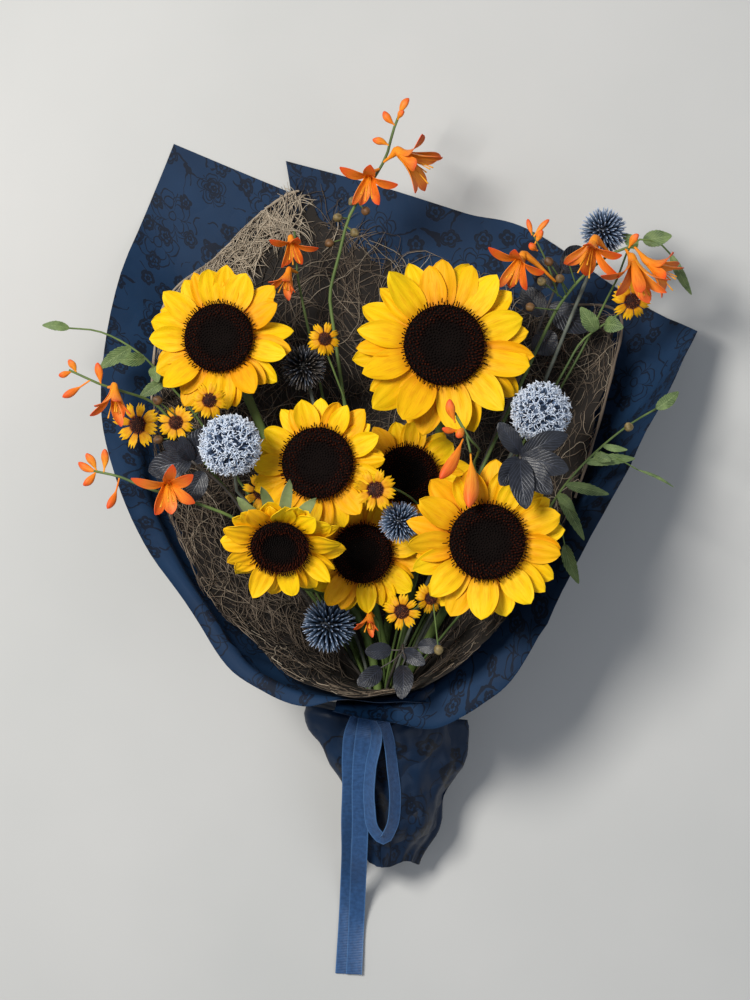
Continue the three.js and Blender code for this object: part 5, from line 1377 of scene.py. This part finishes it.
def blossoms(material, where, scale, radius, lobes, line, most, seed):
    """The ink of line-drawn blossoms, one in some cells of a Voronoi pattern: an outline whose radius is a
    power of a cosine round the middle, a smaller one inside it, a ring and a short line up each petal."""

    def do(how, first, second=0.0):
        """The Math node how, in this material."""
        return sums(material, how, first, second)

    moved = put(material, "Mapping", {"Vector": where, "Location": (seed, 0.7 * seed, 0)}).outputs[0]
    spread = {"Vector": moved, "Scale": scale, "Randomness": 0.6}
    cell = put(material, "TexVoronoi", spread, voronoi_dimensions="2D")
    away = {0: moved, 1: cell.outputs["Position"]}
    away = put(material, "VectorMath", away, operation="SUBTRACT").outputs[0]
    part = put(material, "SeparateXYZ", {0: away})
    picked = put(material, "SeparateColor", {0: cell.outputs["Color"]})
    far = put(material, "VectorMath", {0: away}, operation="LENGTH").outputs["Value"]
    round_it = do("ARCTAN2", part.outputs[1], part.outputs[0])
    round_it = do("ADD", round_it, do("MULTIPLY", picked.outputs[0], 6.28))
    wave = do("ABSOLUTE", do("COSINE", do("MULTIPLY", round_it, lobes / 2)))
    size = do("MULTIPLY", do("ADD", picked.outputs[1], 1.2), radius / 2)
    petal = do("ADD", do("MULTIPLY", do("POWER", wave, 0.45), 0.55), 0.45)
    petal = do("MULTIPLY", petal, size)
    ink = 0.0
    for share in (1.0, 0.72):
        ink = do("MAXIMUM", ink, do("LESS_THAN", gap(material, far, do("MULTIPLY", petal, share)), line))
    ring = gap(material, far, do("MULTIPLY", size, 0.2))
    ink = do("MAXIMUM", ink, do("LESS_THAN", ring, line))
    spoke = do("MULTIPLY", do("LESS_THAN", wave, 0.06), do("LESS_THAN", far, size))
    spoke = do("MULTIPLY", spoke, do("GREATER_THAN", far, do("MULTIPLY", size, 0.25)))
    ink = do("MAXIMUM", ink, spoke)
    return do("MULTIPLY", ink, do("LESS_THAN", picked.outputs[2], most))


paper_blue = blank()
where = put(paper_blue, "UVMap").outputs[0]
shaky = put(paper_blue, "TexNoise", {"Vector": where, "Scale": 9.0, "Detail": 2.0})
shaky = {0: shaky.outputs["Color"], 1: (0.5, 0.5, 0.5)}
shaky = put(paper_blue, "VectorMath", shaky, operation="SUBTRACT").outputs[0]
shaky = put(paper_blue, "VectorMath", {0: shaky, "Scale": 0.06}, operation="SCALE").outputs[0]
where = put(paper_blue, "VectorMath", {0: where, 1: shaky}, operation="ADD").outputs[0]
ink = blossoms(paper_blue, where, 1.9, 0.2, 5, 0.0055, 0.75, 3.1)
ink = sums(paper_blue, "MAXIMUM", ink, blossoms(paper_blue, where, 4.6, 0.075, 5, 0.008, 0.6, 8.7))
for scale, width in ((1.6, 0.008), (2.9, 0.007)):
    hills = put(paper_blue, "TexNoise", {"Vector": where, "Scale": scale, "Detail": 1.0}).outputs["Fac"]
    stalk_line = sums(paper_blue, "LESS_THAN", gap(paper_blue, hills, 0.47), width)
    patch = put(paper_blue, "TexNoise", {"Vector": where, "Scale": 3.3 * scale, "Detail": 0.0}).outputs["Fac"]
    stalk_line = sums(paper_blue, "MULTIPLY", stalk_line, sums(paper_blue, "GREATER_THAN", patch, 0.44))
    ink = sums(paper_blue, "MAXIMUM", ink, stalk_line)
mottle = mottled(paper_blue, 1.2, 3, (13, 39, 67), (19, 51, 84), "UV")
mottle = blended(paper_blue, "MIX", sums(paper_blue, "MULTIPLY", ink, 0.85), mottle, rgb(5, 13, 28))
drop = share_of(paper_blue, 1)
shadow = ramp(paper_blue, drop, {0.0: (200, 200, 204), 0.05: (255, 255, 255)})
mottle = blended(paper_blue, "MULTIPLY", 1.0, mottle, shadow)
polish = ramp(paper_blue, drop, {0.0: 0.42, 0.05: 0.74})
folds = gap(paper_blue, grain(paper_blue, 26, 2, rough=0.4), 0.5)
folds = sums(paper_blue, "MULTIPLY", folds, ramp(paper_blue, drop, {0.0: 1.0, 0.05: 0.2}))
paper_blue = painted(paper_blue, "wrapping_paper", mottle, polish, folds, 0.6, 0.02, Specular_IOR_Level=0.3)


def add_paper(name, solid, *how):
    """The piece of that name, wrapped as wrapping says, with its flat print as its UV map."""
    grid, flat_print = wrapping(*how)
    shape = skin(grid[None])
    shape[2][:, :2] = flat_print.reshape(-1, 2)
    add_piece(name, shape, paper_blue, [solid], 0.35)


degrees = np.arange(120, 384.1, 2.0)
out = PAPER_OUT - 1.4 * np.clip((degrees - 204) / 132, 0, 1)
hug = eased((degrees - 316) / 24)
lip = eased((degrees - 252) / 18) * (1 - eased((degrees - 336) / 14))
add_paper("left_paper", "paper_wrap_left", LEFT_RIM, (240,), degrees, out, 0.2, hug, lip, 1.3)
degrees = np.arange(-24, 204.1, 2.0)
out = PAPER_OUT - 1.4 * np.clip((degrees - 24) / 96, 0, 1)
hug = 1 - eased((degrees - 54) / 40)
add_paper("right_paper", "paper_wrap_right", RIGHT_RIM, (96,), degrees, out, 1.9, hug, 0 * degrees, 2.9)

# ---- The ribbon ----
# A woven blue ribbon, 12 mm wide, goes round the papers at the binding and is tied in a half bow: a small
# knot at the front left, one long loop that lies on the skirt, and two tails that hang over its hem.
RIBBON_WIDTH = 12.0
RIBBON_REST = 0.9


def strap(path, lean):
    """A flat band along a smooth curve through path, leaning by that many degrees about it, with its edges
    lifted a little and a slow wave, and its length."""
    line = smooth(path, 90)
    line[:, 2] = np.maximum(line[:, 2], RIBBON_REST)
    ahead = unit(np.gradient(line, axis=0))
    level = unit(np.cross((0, 0, 1.0), ahead))
    upright = np.cross(ahead, level)
    tip = np.radians(lean)
    across = level * np.cos(tip) + upright * np.sin(tip)
    through = np.cross(ahead, across)
    v = np.linspace(-1, 1, 9)[None, :, None]
    lift = 0.35 * v**2 + 0.3 * np.sin(np.linspace(0, 9, len(line)))[:, None, None] * v
    grid = line[:, None] + across[:, None] * v * RIBBON_WIDTH / 2 + through[:, None] * lift
    shape = skin(grid[None])
    walked = np.r_[0, np.cumsum(np.linalg.norm(np.diff(line, axis=0), axis=1))]
    shape[2][:, 0] = np.repeat(walked / RIBBON_WIDTH, 9)
    return shape, walked[-1]


def skirt_top(x, y):
    """The height of the skirt's front at x and y, an ellipse at each y."""
    middle, wide, deep, z = [np.interp(y, SKIRT[::-1, 0], SKIRT[::-1, column]) for column in (1, 2, 3, 4)]
    return z + deep * np.sqrt(max(0, 1 - ((x - middle) / wide) ** 2))


def laid(x, y, lift):
    """A point of the ribbon's middle, that high above the highest skirt under its width."""
    return (x, y, max(skirt_top(x + off, y) for off in (-6, 0, 6)) + lift)


ribbon_blue = blank()
edge = gap(ribbon_blue, share_of(ribbon_blue, 1), 0.5)
weave = sums(ribbon_blue, "SINE", sums(ribbon_blue, "MULTIPLY", share_of(ribbon_blue), 62.0))
cloth = mottled(ribbon_blue, 4, 3, (35, 70, 114), (49, 90, 140), "UV")
cloth = blended(ribbon_blue, "MIX", ramp(ribbon_blue, edge, {0.42: 0.0, 0.46: 0.6}), cloth, rgb(76, 120, 170))
ribbon_blue = painted(ribbon_blue, "ribbon_weave", cloth, 0.45, weave, 0.35, 0.0002)

knot_turn = np.radians(-28)
knot = on_loop(knot_turn, 10.9, 8.0)
front = (knot[0], 7, knot[2] + 2)
tail_one = [(knot[0] - 2, 7, knot[2]), laid(-23, -10, 3.6), laid(-25, -28, 2.4), laid(-25, -50, 2.4)]
tail_one += [(-26, -78, 45), (-26, -104, 25), (-27, -128, 7), (-28, -150, 1), (-31, -199, 0.7)]
tail_two = [(knot[0] + 1, 7, knot[2] + 1), laid(-15, -10, 5), laid(-17, -28, 4.6), laid(-18, -50, 5)]
tail_two += [(-18, -80, 54), (-19, -108, 39), (-20, -132, 16), (-21, -156, 4), (-23, -199, 2.6)]
bow = [front, laid(-6, -10, 10), laid(-10, -36, 9.5), laid(-11, -64, 9.5), laid(-7, -84, 8.5)]
bow += [laid(-1, -90, 8), laid(4, -82, 8), laid(7, -62, 8), laid(5, -36, 8), laid(2, -14, 8)]
bow += [laid(-1, -4, 9), (knot[0] + 3, 7, knot[2] + 1)]
band_turn = np.linspace(0, 2 * np.pi, 121)
band = on_loop(band_turn[None], 6.5 + 0 * band_turn[None], np.linspace(2, 14, 7)[:, None])
around = skin(band[None])
woven = np.stack(np.broadcast_arrays(band_turn[None] * 3, np.linspace(0, 1, 7)[:, None]), -1)
around[2][:, :2] = woven.reshape(-1, 2)
ball = dome([(np.cos(t), np.sin(t)) for t in np.linspace(-1.5, 1.5, 9)], 1.0, 16)
tied = placed(closed(ball * (6.5, 5.5, 4.2)), facing((np.sin(knot_turn), 0, np.cos(knot_turn))), knot)
parts = [strap(tail_one, 0), strap(tail_two, 0), strap(bow, 48)]
whole = gathered([around, tied, *(shape for shape, _ in parts)])
tied_ribbon = add_piece("tied_ribbon", whole, ribbon_blue, ["ribbon"], 0.5)
